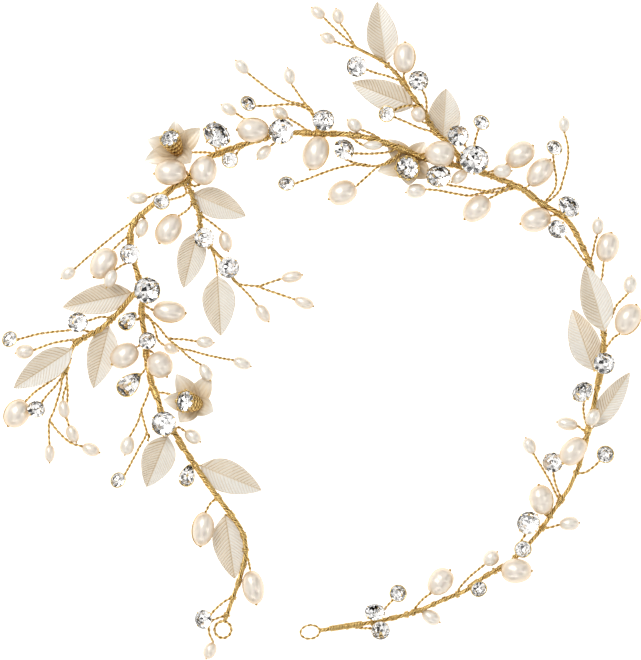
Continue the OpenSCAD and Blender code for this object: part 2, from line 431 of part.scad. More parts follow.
// A stamped blade folded along its midrib: base at the origin, tip along +X
module blade(length, width, z_base, z_tip, thick, rows = 9, columns = 6) {
  across = columns + 1;
  top = [for (i = [0:rows]) for (j = [0:columns]) let (
      t = i / rows, side = j / columns * 2 - 1,
      half = max(0.3, width / 2 * blade_share(t)))
    [t * length, side * half,
      z_base + (z_tip - z_base) * t + leaf_fold * abs(side) * half + thick]];
  count = len(top);
  low = [for (p = top) p - [0, 0, thick]];
  function at(i, j) = i * across + j;
  polyhedron(points = concat(top, low), faces = concat(
    [for (i = [0:rows - 1]) for (j = [0:columns - 1])
      each [[at(i, j), at(i, j + 1), at(i + 1, j)], [at(i, j + 1), at(i + 1, j + 1), at(i + 1, j)],
        [count + at(i, j), count + at(i + 1, j), count + at(i, j + 1)],
        [count + at(i, j + 1), count + at(i + 1, j), count + at(i + 1, j + 1)]]],
    [for (i = [0:rows - 1]) each [
        [at(i, 0), at(i + 1, 0), count + at(i, 0)],
        [at(i + 1, 0), count + at(i + 1, 0), count + at(i, 0)],
        [at(i + 1, columns), at(i, columns), count + at(i, columns)],
        [at(i + 1, columns), count + at(i, columns), count + at(i + 1, columns)]]],
    [for (j = [0:columns - 1]) each [
        [at(0, j + 1), at(0, j), count + at(0, j)],
        [at(0, j + 1), count + at(0, j), count + at(0, j + 1)],
        [at(rows, j), at(rows, j + 1), count + at(rows, j)],
        [at(rows, j + 1), count + at(rows, j + 1), count + at(rows, j)]]]));
}

module leaf(l) {
  run = l[1] - l[0];
  translate([l[0][0], l[0][1], 0]) rotate([0, 0, atan2(run[1], run[0])])
    blade(norm(run), l[2], l[3], l[4], leaf_t);
}

module flower_petals(f) {
  for (tip = f[1]) let (run = tip - f[0]) translate([f[0][0], f[0][1], 0])
    rotate([0, 0, atan2(run[1], run[0])])
      blade(norm(run), 5, f[2], f[2] - 0.6, leaf_t, 5, 4);
  translate([f[0][0], f[0][1], f[2]]) cylinder(r = 2, h = leaf_t * 1.4);
}

// Direction of a flower cup, from its foot to the stone
function flower_axis(f) = lift(f[4], f[6]) - lift(f[3], f[2] + leaf_t);
module along_flower(f) {
  a = flower_axis(f);
  translate(lift(f[4], f[6])) rotate([0, 0, atan2(a[1], a[0])])
    rotate([0, atan2(norm([a[0], a[1]]), a[2]), 0]) children();
}

// Trumpet-shaped cup, with a seat for its stone at the origin
module flower_cup(f) along_flower(f) {
  d = f[5];
  foot = norm(flower_axis(f));
  rotate_extrude()
    polygon(concat([[0, -foot], [0.22 * d, -foot], [0.3 * d, -0.7 * foot], [0.54 * d, -0.1 * d],
      [0.54 * d, girdle_h * d]], seat(d)));
}

module flower_stone(f) along_flower(f) cut_stone(f[5]);

// One closed turn of binding wire
module turn(r) rotate([0, 90, 0]) rotate_extrude()
  translate([r + binding_in, 0]) circle(r = binding_r, $fn = 13);

module binding(b) translate(lift(b[0], stem_z)) rotate([0, 0, b[1]])
  for (k = [0:b[2] - 1]) translate([(k - (b[2] - 1) / 2) * binding_pitch, 0, 0]) turn(b[3]);

module eyelet(hole_r, wire_r) rotate_extrude() {
  translate([hole_r + wire_r, 0]) circle(r = wire_r);
  translate([hole_r, -eyelet_band / 2]) square([wire_r, eyelet_band]);
}

module gold() color([0.80, 0.62, 0.30]) children();
module nacre() color([0.96, 0.93, 0.87]) children();
module crystal() color([0.90, 0.92, 0.95]) children();
module enamel() color([0.93, 0.89, 0.83]) children();
module satin() color([0.86, 0.77, 0.65]) children();

module wires(pearls, stones, leaves = [], links = []) gold() {
  for (p = pearls) pearl_wire(p);
  for (s = stones) stone_wire(s);
  for (l = leaves) tie_wire(l);
  for (l = links) wire(smooth(l, 2), sprig_r);
}
module pearls(list) nacre() for (p = list) pearl(p);
module settings(list) gold() for (s = list) lean_to(lift(s[0], s[4]), s[2], s[3]) claw_cup(s[1]);
module crystals(list) crystal() for (s = list) lean_to(lift(s[0], s[4]), s[2], s[3]) cut_stone(s[1]);
module leaves(list) enamel() for (l = list) leaf(l);
module bindings(list) gold() for (b = list) binding(b);

// ================= Sub-parts =================
module crown_stem() gold() stem(crown_route, stem_r, stem_r);
module crown_sprig_wires() {
  wires(concat(crown_pearl_list, crown_rice_list), crown_stone_list, [], crown_link_list);
  gold() for (f = crown_flower_list) flower_wire(f);
}
module crown_bindings() bindings(crown_binding_list);
module crown_pearls() pearls(crown_pearl_list);
module crown_rice_pearls() pearls(crown_rice_list);
module crown_settings() settings(crown_stone_list);
module crown_crystals() {
  crystals(crown_stone_list);
  crystal() for (f = crown_flower_list) flower_stone(f);
}
module crown_flower_petals() satin() for (f = crown_flower_list) flower_petals(f);
module crown_flower_cups() gold() for (f = crown_flower_list) flower_cup(f);

module left_side_stem() gold() stem(left_side_route, stem_r, stem_r);
module left_side_sprig_wires() {
  wires(concat(left_side_pearl_list, left_side_rice_list), left_side_stone_list,
    left_side_leaf_list, left_side_link_list);
  gold() for (p = left_side_pear_list) pear_wire(p);
  gold() for (f = left_side_flower_list) flower_wire(f);
}
module left_side_bindings() bindings(left_side_binding_list);
module left_side_pearls() pearls(left_side_pearl_list);
module left_side_rice_pearls() pearls(left_side_rice_list);
module left_side_settings() {
  settings(left_side_stone_list);
  gold() for (p = left_side_pear_list) pear_cup(p);
}
module left_side_crystals() {
  crystals(left_side_stone_list);
  crystal() for (p = left_side_pear_list) pear_stone(p);
  crystal() for (f = left_side_flower_list) flower_stone(f);
}
module left_side_leaves() leaves(left_side_leaf_list);
module left_side_flower_petals() satin() for (f = left_side_flower_list) flower_petals(f);
module left_side_flower_cup() gold() for (f = left_side_flower_list) flower_cup(f);

module left_tail_stem() gold() stem(left_tail_route, stem_r, tail_r);
module left_tail_eyelet() gold() translate(round_eyelet) eyelet(eyelet_hole_r, eyelet_wire_r);
module left_tail_sprig_wires() wires(left_tail_pearl_list, left_tail_stone_list, left_tail_leaf_list);
module left_tail_pearls() pearls(left_tail_pearl_list);
module left_tail_setting() settings(left_tail_stone_list);
module left_tail_crystal() crystals(left_tail_stone_list);
module left_tail_leaf() leaves(left_tail_leaf_list);

module left_spray_stem() gold() stem(left_spray_route, stem_r, tail_r);
module left_spray_sprig_wires() wires(left_spray_pearl_list, left_spray_stone_list, left_spray_leaf_list);
module left_spray_pearls() pearls(left_spray_pearl_list);
module left_spray_settings() settings(left_spray_stone_list);
module left_spray_crystals() crystals(left_spray_stone_list);
module left_spray_leaves() leaves(left_spray_leaf_list);

module inner_spray_stem() gold() stem(inner_spray_route, tail_r, sprig_r * 1.3);
module inner_spray_sprig_wires()
  wires(inner_spray_pearl_list, inner_spray_stone_list, inner_spray_leaf_list);
module inner_spray_pearls() pearls(inner_spray_pearl_list);
module inner_spray_settings() settings(inner_spray_stone_list);
module inner_spray_crystals() crystals(inner_spray_stone_list);
module inner_spray_leaves() leaves(inner_spray_leaf_list);

module top_spray_stem() gold() stem(top_spray_route, stem_r, sprig_r * 1.3);
module top_spray_sprig_wires()
  wires(top_spray_pearl_list, top_spray_stone_list, top_spray_leaf_list, top_spray_link_list);
module top_spray_pearls() pearls(top_spray_pearl_list);
module top_spray_settings() settings(top_spray_stone_list);
module top_spray_crystals() crystals(top_spray_stone_list);
module top_spray_leaves() leaves(top_spray_leaf_list);

module right_side_stem() gold() stem(right_side_route, stem_r, tail_r);
module right_side_sprig_wires()
  wires(concat(right_side_pearl_list, right_side_rice_list), right_side_stone_list, right_side_leaf_list);
module right_side_bindings() bindings(right_side_binding_list);
module right_side_pearls() pearls(right_side_pearl_list);
module right_side_rice_pearls() pearls(right_side_rice_list);
module right_side_settings() settings(right_side_stone_list);
module right_side_crystals() crystals(right_side_stone_list);
module right_side_leaves() leaves(right_side_leaf_list);

module right_tail_stem() gold() stem(right_tail_route, tail_r, tail_r);
module right_tail_eyelet() gold() translate(tilted_eyelet) rotate([0, 0, tilted_heading])
  rotate([eyelet_tilt, 0, 0]) eyelet(tilted_hole_r, tilted_wire_r);
module right_tail_sprig_wires()
  wires(concat(right_tail_pearl_list, right_tail_rice_list), right_tail_stone_list);
module right_tail_bindings() bindings(right_tail_binding_list);
module right_tail_pearls() pearls(right_tail_pearl_list);
module right_tail_rice_pearls() pearls(right_tail_rice_list);
module right_tail_settings() settings(right_tail_stone_list);
module right_tail_crystals() crystals(right_tail_stone_list);

crown_stem();
crown_sprig_wires();
crown_bindings();
crown_pearls();
crown_rice_pearls();
crown_settings();
crown_crystals();
crown_flower_petals();
crown_flower_cups();
left_side_stem();
left_side_sprig_wires();
left_side_bindings();
left_side_pearls();
left_side_rice_pearls();
left_side_settings();
left_side_crystals();
left_side_leaves();
left_side_flower_petals();
left_side_flower_cup();
left_tail_stem();
left_tail_eyelet();
left_tail_sprig_wires();
left_tail_pearls();
left_tail_setting();
left_tail_crystal();
left_tail_leaf();
left_spray_stem();
left_spray_sprig_wires();
left_spray_pearls();
left_spray_settings();
left_spray_crystals();
left_spray_leaves();
inner_spray_stem();
inner_spray_sprig_wires();
inner_spray_pearls();
inner_spray_settings();
inner_spray_crystals();
inner_spray_leaves();
top_spray_stem();
top_spray_sprig_wires();
top_spray_pearls();
top_spray_settings();
top_spray_crystals();
top_spray_leaves();
right_side_stem();
right_side_sprig_wires();
right_side_bindings();
right_side_pearls();
right_side_rice_pearls();
right_side_settings();
right_side_crystals();
right_side_leaves();
right_tail_stem();
right_tail_eyelet();
right_tail_sprig_wires();
right_tail_bindings();
right_tail_pearls();
right_tail_rice_pearls();
right_tail_settings();
right_tail_crystals();
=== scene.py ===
"""A wedding hair vine laid out flat, its face up: twisted gold wire, pearls, cut stones and leaves.

The sizes and places of beads, stones, leaves and coils are measured on the CAD nodes. The routes of
the wires are lists of points in millimetres, the same as in the CAD. Shapes are built in
millimetres, and become metres when a piece is made.
"""

import json
import math

import bpy
import numpy as np
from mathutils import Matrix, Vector

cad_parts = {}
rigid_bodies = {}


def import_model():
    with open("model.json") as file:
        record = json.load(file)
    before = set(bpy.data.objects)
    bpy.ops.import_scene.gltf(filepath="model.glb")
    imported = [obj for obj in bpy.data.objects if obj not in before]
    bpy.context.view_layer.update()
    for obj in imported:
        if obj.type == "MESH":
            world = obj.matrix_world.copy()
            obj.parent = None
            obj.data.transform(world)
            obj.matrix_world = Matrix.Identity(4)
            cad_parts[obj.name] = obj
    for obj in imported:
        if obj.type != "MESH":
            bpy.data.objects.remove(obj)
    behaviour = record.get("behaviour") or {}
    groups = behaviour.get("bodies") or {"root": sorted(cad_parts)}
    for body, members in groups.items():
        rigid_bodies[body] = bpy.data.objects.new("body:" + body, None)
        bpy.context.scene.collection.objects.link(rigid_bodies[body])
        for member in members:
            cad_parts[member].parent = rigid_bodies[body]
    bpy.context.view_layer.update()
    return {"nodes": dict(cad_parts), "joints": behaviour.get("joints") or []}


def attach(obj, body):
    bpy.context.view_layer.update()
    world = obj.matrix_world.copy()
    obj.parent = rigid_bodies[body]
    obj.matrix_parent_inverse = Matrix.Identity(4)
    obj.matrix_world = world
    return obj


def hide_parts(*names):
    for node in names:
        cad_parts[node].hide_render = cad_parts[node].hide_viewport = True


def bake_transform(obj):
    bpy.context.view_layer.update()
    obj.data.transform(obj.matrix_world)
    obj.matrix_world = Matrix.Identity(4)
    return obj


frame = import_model()

MM = 0.001
UP = np.array([0, 0, 1.0])
STEM_Z = 3.0  # height of the stem's centreline
STEM_R, TAIL_R, SPRIG_R, STRAND_R = 0.88, 0.68, 0.45, 0.2
STEM_STEP, WIRE_STEP, BEND_STEP = 0.35, 0.22, 0.2  # between the points of a line
STEM_STRANDS, STEM_PITCH, STEM_CORE = 6, 6.2, 0.45  # the core is a share of the stem's radius
WRAP_R, WRAP_PITCH = 0.2, 0.42  # the fine wire wound round the stem
TIE_REACH, TIE_TURNS, TIE_R = 1.6, 2.3, 0.19  # the turns that tie a wire that starts this near the stem
WIRE_SIDES, TURN_POINTS = 6, 18
CREVICE_SHADE = 0.72  # painted shade: how much darker the inner side of a strand is
LARGE_PEARL = 5  # pearls thicker than this are large ones
BEZEL_D, FOUR_CLAW_D = 5.35, 7.5  # stones smaller than these have a bezel, or four claws
CUP_RINGS, CUP_SCALLOPS, CUP_BEADS = 4, 8, 16  # on a flower's cup

# Radius of each stem section at its first and last point
STEM_RADII = {
    "crown": (STEM_R, STEM_R), "left_side": (STEM_R, STEM_R), "left_tail": (STEM_R, TAIL_R),
    "left_spray": (STEM_R, TAIL_R), "inner_spray": (TAIL_R, 0.5), "top_spray": (STEM_R, 0.5),
    "right_side": (STEM_R, TAIL_R), "right_tail": (TAIL_R, TAIL_R),
}

# The stem's eight sections, as the CAD lays them, with the points they bend at
STEMS = {
    "crown": [
        (-52, 36.2), (-48.3, 39.5), (-44.5, 42.7), (-39.8, 45), (-37.5, 49.8), (-31, 52.8), (-24.5, 55.2),
        (-17, 57.6), (-8, 59.2), (0, 58.9), (8, 58.8), (16, 57.3), (24, 54.5), (33, 51), (43, 49),
        (51, 46.4), (60, 42.7), (66.5, 38), (74, 33), (78.7, 25), (81.2, 18.8), (83.4, 11),
    ],
    "left_side": [
        (-52, 36.2), (-55.6, 32.9), (-57.2, 28.5), (-56.4, 22), (-54.7, 16), (-53.5, 10), (-53.8, 4.5),
        (-52.5, -3), (-52.2, -9), (-50.6, -16.4), (-48.8, -21), (-47.3, -26.5), (-43.8, -31), (-40, -37.2),
        (-34.1, -45.9),
    ],
    "left_tail": [
        (-34.1, -45.9), (-29.6, -52), (-26.3, -56.3), (-23.2, -61.5), (-22.5, -67.5), (-24.2, -74.5),
        (-26.5, -81), (-28.6, -86.9),
    ],
    "left_spray": [
        (-56.3, 10.4), (-61, 5), (-66.3, 0.2), (-73.8, -4.3), (-76.2, -10.8), (-77.6, -14.2),
    ],
    "inner_spray": [
        (-39.2, 42.3), (-38.2, 38.8), (-36.4, 34.5), (-36.2, 31), (-34.6, 27), (-31, 22.8), (-28.3, 20),
        (-26.3, 15.5), (-24.3, 13.4),
    ],
    "top_spray": [
        (41.6, 51.9), (38.5, 56), (34.3, 59.6), (31.3, 64.8), (28, 69.8), (24, 75.5), (19.6, 80),
        (13.5, 83.4), (10.3, 85),
    ],
    "right_side": [
        (83.4, 11), (84.6, 4), (85.1, -2), (84.6, -10), (82.6, -20), (80.4, -30), (77.9, -40),
        (74.7, -47.6),
    ],
    "right_tail": [
        (74.7, -47.6), (70.2, -54), (65.4, -61), (58, -68.8), (49, -74.3), (43.5, -78.3), (37.5, -80.8),
        (27.5, -85), (16, -87.7), (4, -89.6), (0.3, -90.15),
    ],
}

# Each wire: what it carries sits at the first point, and the rest is its way there from the stem
WIRES = {
    "crown_pearls": [
        [(-20.3, 60), (-16.8, 57.8), (-16, 58.6, 4.6)], [(-45, 47.3), (-39.4, 45.6)],
        [(-34.9, 47.8), (-39.8, 45.2), (-38.2, 43.2)], [(-1.4, 53.1), (0.9, 58.9)],
        [(6.6, 41.2), (24.4, 54.2), (22, 51.4), (19.5, 50.2), (17, 48.8), (14, 46.2)],
        [(35.7, 52.8), (29.6, 52.3)], [(59.8, 52.6), (51.5, 46.2), (54.2, 48.2)], [(65.8, 47.3), (61, 42)],
        [(64.6, 33.1), (71.6, 34.8)], [(86.2, 24.8), (82.6, 13.6), (84.4, 15.2), (84.8, 18)],
        [(46.9, 36.4), (60, 42.7), (57, 42.2), (54, 41.2)],
    ],
    "crown_rice_pearls": [
        [(-23.6, 79), (-0.6, 59.1), (-2.5, 65.7), (-5, 67.6), (-10, 68.9), (-15, 71.8)],
        [(-27.5, 66.3), (-16.5, 57.8), (-18.5, 60.5, 1.2), (-22, 63, 1.6)],
        [(-17, 53.3), (-12.5, 58.4), (-13.4, 56.6)], [(-9.3, 76.2), (-0.4, 59.1), (-2.3, 65.3), (-5, 68.5)],
        [(-12, 65), (-3, 59.2), (-6, 61.4)], [(10.2, 61.6), (20, 56), (16, 58.6)],
        [(15.7, 55.4), (8.6, 58.8), (10.8, 56.6)],
        [(28.7, 41.8), (57, 44), (54, 41.7), (48, 41), (44, 40.4), (36, 41.8)], [(41.7, 46), (46, 48.1)],
        [(54.5, 47.7), (49.4, 47)],
        [(73.1, 61.6), (67.2, 37.5), (71.5, 41.5), (72.8, 45), (74, 49.5), (74.4, 53.5), (74, 56.5)],
        [(83.3, 31.1), (80.8, 20), (81.7, 22.6), (82.2, 25.4)],
        [(-54.8, 39.7), (-46.6, 40.9), (-49.4, 40.9)],
    ],
    "crown_stones": [
        [(-21.7, 68), (-0.8, 59.1), (-2.8, 65.2), (-6, 67.2), (-10, 67.8), (-15, 67.4)],
        [(-31, 58.5), (-31, 52.9), (-31.6, 55)], [(-27.2, 51), (-23.6, 55.5), (-25.2, 53)],
        [(0.9, 62.9), (1.2, 58.9)], [(-11.8, 59.5), (-10, 59)],
        [(7.1, 54.2), (23.4, 54.6), (20, 53.4), (16, 53), (11.5, 53)],
        [(-10.2, 44), (24.8, 54), (22, 50.9), (19, 49.7), (15, 49.2), (10, 49.6), (4, 48.3), (-2, 46.1)],
        [(41.2, 58.2), (43, 49.4), (44.2, 52.4), (43.6, 55)],
        [(48.3, 62.3), (45, 48.8), (45.8, 53), (46.6, 57.4)], [(46, 51), (46.4, 48.6)],
        [(35.4, 46.2), (59.4, 43), (54, 42.6), (50, 41.8), (46, 42.3), (42, 43), (38.4, 43.6)],
        [(70.2, 54.7), (66.8, 37.8), (70.2, 42), (70.8, 45.5), (70.3, 49)], [(74.5, 37), (72.6, 34.2)],
        [(71, 30.2), (81.2, 18.8), (78.5, 21.8), (76, 25.2), (73.6, 28)],
        [(-47.7, 38.5), (-41.4, 44.4), (-40.4, 41.2, 1), (-43.6, 39.6, 1.6)],
    ],
    "left_side_pearls": [
        [(-45.4, 5.5), (-53.6, 7.6), (-52, 6.9)], [(-48.1, -10.4), (-52.3, -5.6)],
        [(-58.8, -7.7), (-52.5, -3.4)], [(-65.2, 20), (-57.2, 28.6), (-60, 26.4)],
    ],
    "left_side_rice_pearls": [
        [(-53.6, 30.6), (-53.9, 34.6)],
        [(-44.9, -5.5), (-53.6, 5.6), (-51.4, 3.7), (-49.9, 0.7), (-48.9, -2.8)],
        [(-34.5, -12.7), (-53.7, 5), (-51, 3), (-48.6, 0.9), (-45.9, -2.4, 4.4), (-41.9, -5.8, 4.6),
         (-39.9, -7.8), (-37.4, -9.6)],
        [(-23.6, -10), (-42.3, -5.5, 4.6), (-38.4, -6.3), (-35, -7.3), (-30.5, -8.3)],
        [(-34.7, -3.6), (-45.9, -2.4, 4.4), (-43.5, -2.7), (-40.4, -2.9)],
        [(-38.4, -32), (-44.2, -30.6), (-42.8, -29.2)],
        [(-58, -34.7), (-50.8, -15.6), (-52.3, -20.4), (-53.9, -24.2), (-54.9, -27.7)],
        [(-75.8, 17), (-56.3, 32.6), (-60, 30), (-65, 26), (-70, 21.8)],
        [(-62.9, 15.4), (-55.9, 20.4), (-58.8, 19.8)],
    ],
    "left_side_stones": [
        [(-57.2, 22.8), (-56.4, 21.6)], [(-51.9, 11.9), (-53.6, 10.4)], [(-51.9, -3.2), (-52.5, -2)],
        [(-47, -28), (-46.9, -27.2)],
        [(-60.8, -45), (-53.9, -24.2), (-52.9, -28.2), (-52.3, -31.2), (-54.4, -35.2), (-55.9, -38.1),
         (-57.8, -41.6)],
        [(-57.6, 2.9), (-53.7, 3.6), (-55.6, 3)], [(-57.2, -16.1), (-52, -10.6), (-53.6, -13)],
        [(-39.9, -43.5), (-37.6, -41), (-38.6, -41.6)],
    ],
    "left_side_leaves": [
        [(-67, 9), (-53.4, 11.4)], [(-49, -39), (-44.4, -30.2)], [(-27, -44), (-37.8, -40.4)],
    ],
    "left_tail_pearls": [
        [(-35.3, -59.8), (-30.8, -50.4), (-33, -52)], [(-20.2, -77.3), (-22.5, -66), (-21.6, -69.5)],
        [(-33.2, -96.3), (-28.2, -85.6), (-32.9, -87.6), (-33.4, -91)],
    ],
    "left_tail_stones": [
        [(-35.2, -86.8), (-26.2, -80.2), (-28.3, -81.2), (-31.5, -83.8)],
    ],
    "left_tail_leaves": [
        [(-27, -65), (-26.6, -56)],
    ],
    "left_spray_pearls": [
        [(-91.2, -25.1), (-76.9, -12.2), (-81, -15.3, 1.4), (-85.7, -18.5, 1.8)],
        [(-88.7, -6.5), (-70.6, -2.4), (-79.7, -3.8)],
        [(-81.4, -37.1), (-77.4, -13.6), (-78.2, -18), (-80, -24), (-81.4, -27.4), (-81.6, -31)],
        [(-77, -23.7), (-76.3, -11.4), (-76.2, -16), (-77, -18.8)],
        [(-74.5, -31.2), (-76.1, -15.6), (-76, -19, 1.4), (-76.4, -25.6, 1.4)],
        [(-69, -35.9), (-81.2, -27.4), (-78.6, -30.8), (-75, -33.9)],
    ],
    "left_spray_stones": [
        [(-72.8, 2.3), (-62.4, 3.6), (-66, 3.9), (-69.5, 2.9)],
        [(-93.3, -2.7), (-68.4, -1), (-72.3, 0.2), (-76.7, -0.2), (-84.7, -1.2)],
        [(-85.2, -23.7), (-77.4, -13.8), (-80, -17.3), (-83, -20.7)],
    ],
    "left_spray_leaves": [
        [(-83, -12), (-73.6, -4)], [(-66, -8), (-63.4, 2.8)],
    ],
    "inner_spray_pearls": [
        [(-45.5, 30.2), (-38.1, 38.6), (-40, 36)], [(-28.5, 26.6), (-36.4, 34.8), (-32.5, 32)],
        [(-17.3, 5), (-24.6, 13.6), (-21.5, 10.5)], [(-8.6, 16), (-24.6, 13.7), (-19, 13.2), (-16, 14)],
        [(-5, 8.2), (-19.4, 13.2), (-14, 11.3)],
    ],
    "inner_spray_stones": [
        [(-35, 27.6), (-35.3, 29)], [(-27.5, 18.7), (-28.4, 20)],
    ],
    "inner_spray_leaves": [
        [(-30, 38), (-39, 41.4)], [(-39, 21), (-36.2, 31.4)], [(-30, 7), (-33, 25.2), (-31.6, 21)],
    ],
    "top_spray_pearls": [
        [(25.2, 81.7), (25, 74.2)], [(-0.8, 95.3), (10.8, 84.8), (8, 87.2), (4, 90.8)],
        [(5.3, 94.2), (10.6, 84.9), (8.4, 88.6)], [(2.2, 87.6), (11, 84.6), (7, 85.6)],
        [(29.3, 64.5), (32.8, 61.8)],
    ],
    "top_spray_stones": [
        [(10.8, 79), (24.6, 74.6), (20, 76.3), (16, 77.4)],
        [(19.8, 64.8), (34.9, 59.2), (30, 60.6), (26, 62.3)],
        [(29.4, 74.8), (31.8, 63.8), (31.9, 66.8), (31.4, 70.4)],
    ],
    "top_spray_leaves": [
        [(18, 90), (20, 79.6)], [(19, 71), (30, 67)], [(37, 65), (37.4, 57)],
    ],
    "right_side_pearls": [
        [(92.3, 3.2), (84.9, -6), (86.5, -4.3), (88, -2.4)], [(75.7, -36.3), (80.6, -30.6)],
    ],
    "right_side_rice_pearls": [
        [(93, 13.6), (85, 0.4), (87.4, 3.8), (88.8, 7.2), (91.2, 9.8)], [(81.6, -26.2), (80, -30)],
        [(74.2, -28.2), (80.1, -31), (78.7, -29.9)],
    ],
    "right_side_stones": [
        [(85, -10), (84.6, -9)], [(78.5, -18.5), (80.4, -30), (79.2, -26), (79, -22.4)],
        [(85.5, -37.3), (76.8, -42.8), (79.5, -42.8), (82.6, -40.6)],
    ],
    "right_side_leaves": [
        [(82, 9), (85, -1.4)], [(79, -3), (84.2, -11.8)], [(87, -21), (80.6, -29.6)],
    ],
    "right_tail_pearls": [
        [(66.3, -51), (68.8, -56)], [(58.7, -72.2), (52.4, -72.4)],
        [(36, -75.6), (27.7, -84.8), (28.8, -83), (30.8, -80.8)],
    ],
    "right_tail_rice_pearls": [
        [(62.8, -34.8), (72, -51.4), (70.8, -49.4), (69.2, -46), (67.8, -43.5), (66, -40.5)],
        [(74.7, -58.2), (66.4, -59.6), (69, -59.3)],
        [(51.2, -68.6), (41, -79.2), (42.3, -76.8), (45.5, -73.5)],
        [(33.2, -86.3), (26, -85.4), (28.5, -84.2)],
    ],
    "right_tail_stones": [
        [(69.7, -39.7), (72.4, -50.8), (71.4, -48.4), (70.4, -45.4), (69.9, -42.5)],
        [(62.3, -57.8), (58.4, -68.3), (60, -64)], [(60.7, -65.7), (61.4, -65.4)],
        [(47.5, -77.7), (44.8, -77.3)], [(23.3, -79), (17.5, -87.3), (19.6, -83.4), (21.3, -81.6)],
        [(16.3, -84.5), (15.4, -87.8)], [(18, -90.2), (8, -89.1), (13, -89.6)],
    ],
}

# Plain wires that join two others, some with their heights
LINKS = {
    "crown": [
        [(15, 49.4, 3.6), (10, 50.3, 3.4), (5.6, 52.2, 2.6)],
        [(42.6, 49.2), (42.2, 50.4), (41.8, 51.4)], [(-39.6, 45), (-39.4, 43.8), (-39.25, 42.8)],
    ],
    "left_side": [
        [(-53.5, 11.2), (-54.8, 10.9), (-55.8, 10.6)],
        [(-52.3, -30.6, 3.2), (-51.5, -31.8, 3.4), (-51.9, -33.4, 3.5)],
    ],
    "top_spray": [[(29.9, 67.3), (25.4, 67.3, 3.4), (21.2, 65.6, 3.4)]],
}

# Flowers: middle of the petals, the petals' tips, their height, foot of the cup, the stone's place,
# wire from the stem
FLOWERS = {
    "crown": [
        ((-43, 54), [(-43.8, 62.8), (-52, 57.2), (-52.8, 50.8), (-39, 50.3), (-36.2, 60.7)], 2.2,
         (-42.8, 53.4), (-45.2, 57.5), [(-30.6, 53), (-35, 53.4, 1.6), (-39.4, 53.4, 1.6)]),
        ((26.8, 50.2), [(20.2, 57.3), (31.4, 56.5), (17.3, 47.7), (26.5, 43.5), (33, 46)], 1,
         (27.4, 50), (26, 48.5), [(25.6, 53.9), (25.8, 52.6, 1.6)]),
    ],
    "left_side": [
        ((-37.8, -21.8), [(-43.3, -13.3), (-33.2, -13.7), (-32.2, -24.5), (-42.3, -27.7), (-47, -21)],
         2, (-36.6, -22.3), (-40.7, -21.3), [(-49.6, -18.6), (-46.5, -19, 2.2), (-42, -20.4, 2)]),
    ],
}

RINGED = [(66.3, -51), (36, -75.6), (-48.1, -10.4)]  # pearls with rings round them

# The joints of the record: a stem stops short of them, and a rope reaches past them along both sections
BEND_GAP, BEND_REACH = 0.5, 1.4
BENDS = {
    "left_side_bend": (-52, 36.2), "left_tail_bend": (-34.1, -45.9), "left_spray_bend": (-56.3, 10.4),
    "inner_spray_bend": (-39.2, 42.3), "top_spray_bend": (41.6, 51.9), "right_side_bend": (83.4, 11),
    "right_tail_bend": (74.7, -47.6),
}

rng = np.random.default_rng(7)


# ---- vectors and curves

def unit(v):
    return v / np.linalg.norm(v)


def any_angle(count=None):
    return rng.uniform(0, 6.3, count)


def full_turn(count):
    return np.linspace(0, math.tau, count, endpoint=False)


def flat_axes(along):
    """Along, across and up, for a thing that lies flat."""
    return np.array([along, np.cross(UP, along), UP])


def gaps(points, at):
    """How far each of the points is from the one at."""
    return np.linalg.norm(points - at, axis=1)


def lift(p, z=STEM_Z):
    """A point of a route in three dimensions, at height z where the route gives none."""
    return np.array([p[0], p[1], p[2] if len(p) > 2 else z], float)


def smooth(points, step):
    """A smooth curve through the points, with one point every step millimetres or less."""
    p = [2 * points[0] - points[1], *points, 2 * points[-1] - points[-2]]
    dense = []
    for a, b, c, d in zip(p, p[1:], p[2:], p[3:]):
        for t in np.linspace(0, 1, 24, endpoint=False):
            dense.append(0.5 * (2 * b + (c - a) * t + (2 * a - 5 * b + 4 * c - d) * t * t
                                + (3 * b - a - 3 * c + d) * t ** 3))
    dense.append(p[-2])
    return resample(np.array(dense), step)


def run_of(path):
    """The length of the path up to each of its points."""
    return np.concatenate([[0], np.cumsum(np.linalg.norm(np.diff(path, axis=0), axis=1))])


def resample(curve, step):
    run = run_of(curve)
    count = max(3, math.ceil(run[-1] / step) + 1)
    at = np.linspace(0, run[-1], count)
    return np.stack([np.interp(at, run, curve[:, k]) for k in range(3)], axis=1)


def frames_along(path, closed=False):
    """Unit side and up vectors that turn as little as they can along the path."""
    if closed:
        tangent = np.roll(path, -1, 0) - np.roll(path, 1, 0)
    else:
        tangent = np.gradient(path, axis=0)
    tangent /= np.linalg.norm(tangent, axis=1)[:, None]
    up = UP if abs(tangent[0][2]) < 0.9 else np.array([1.0, 0, 0])
    sides, ups = [], []
    for t in tangent:
        up = unit(up - t * (up @ t))
        ups.append(up)
        sides.append(np.cross(t, up))
    return np.array(sides), np.array(ups)


# ---- meshes

def in_scene(name, data):
    made = bpy.data.objects.new(name, data)
    bpy.context.scene.collection.objects.link(made)
    return made


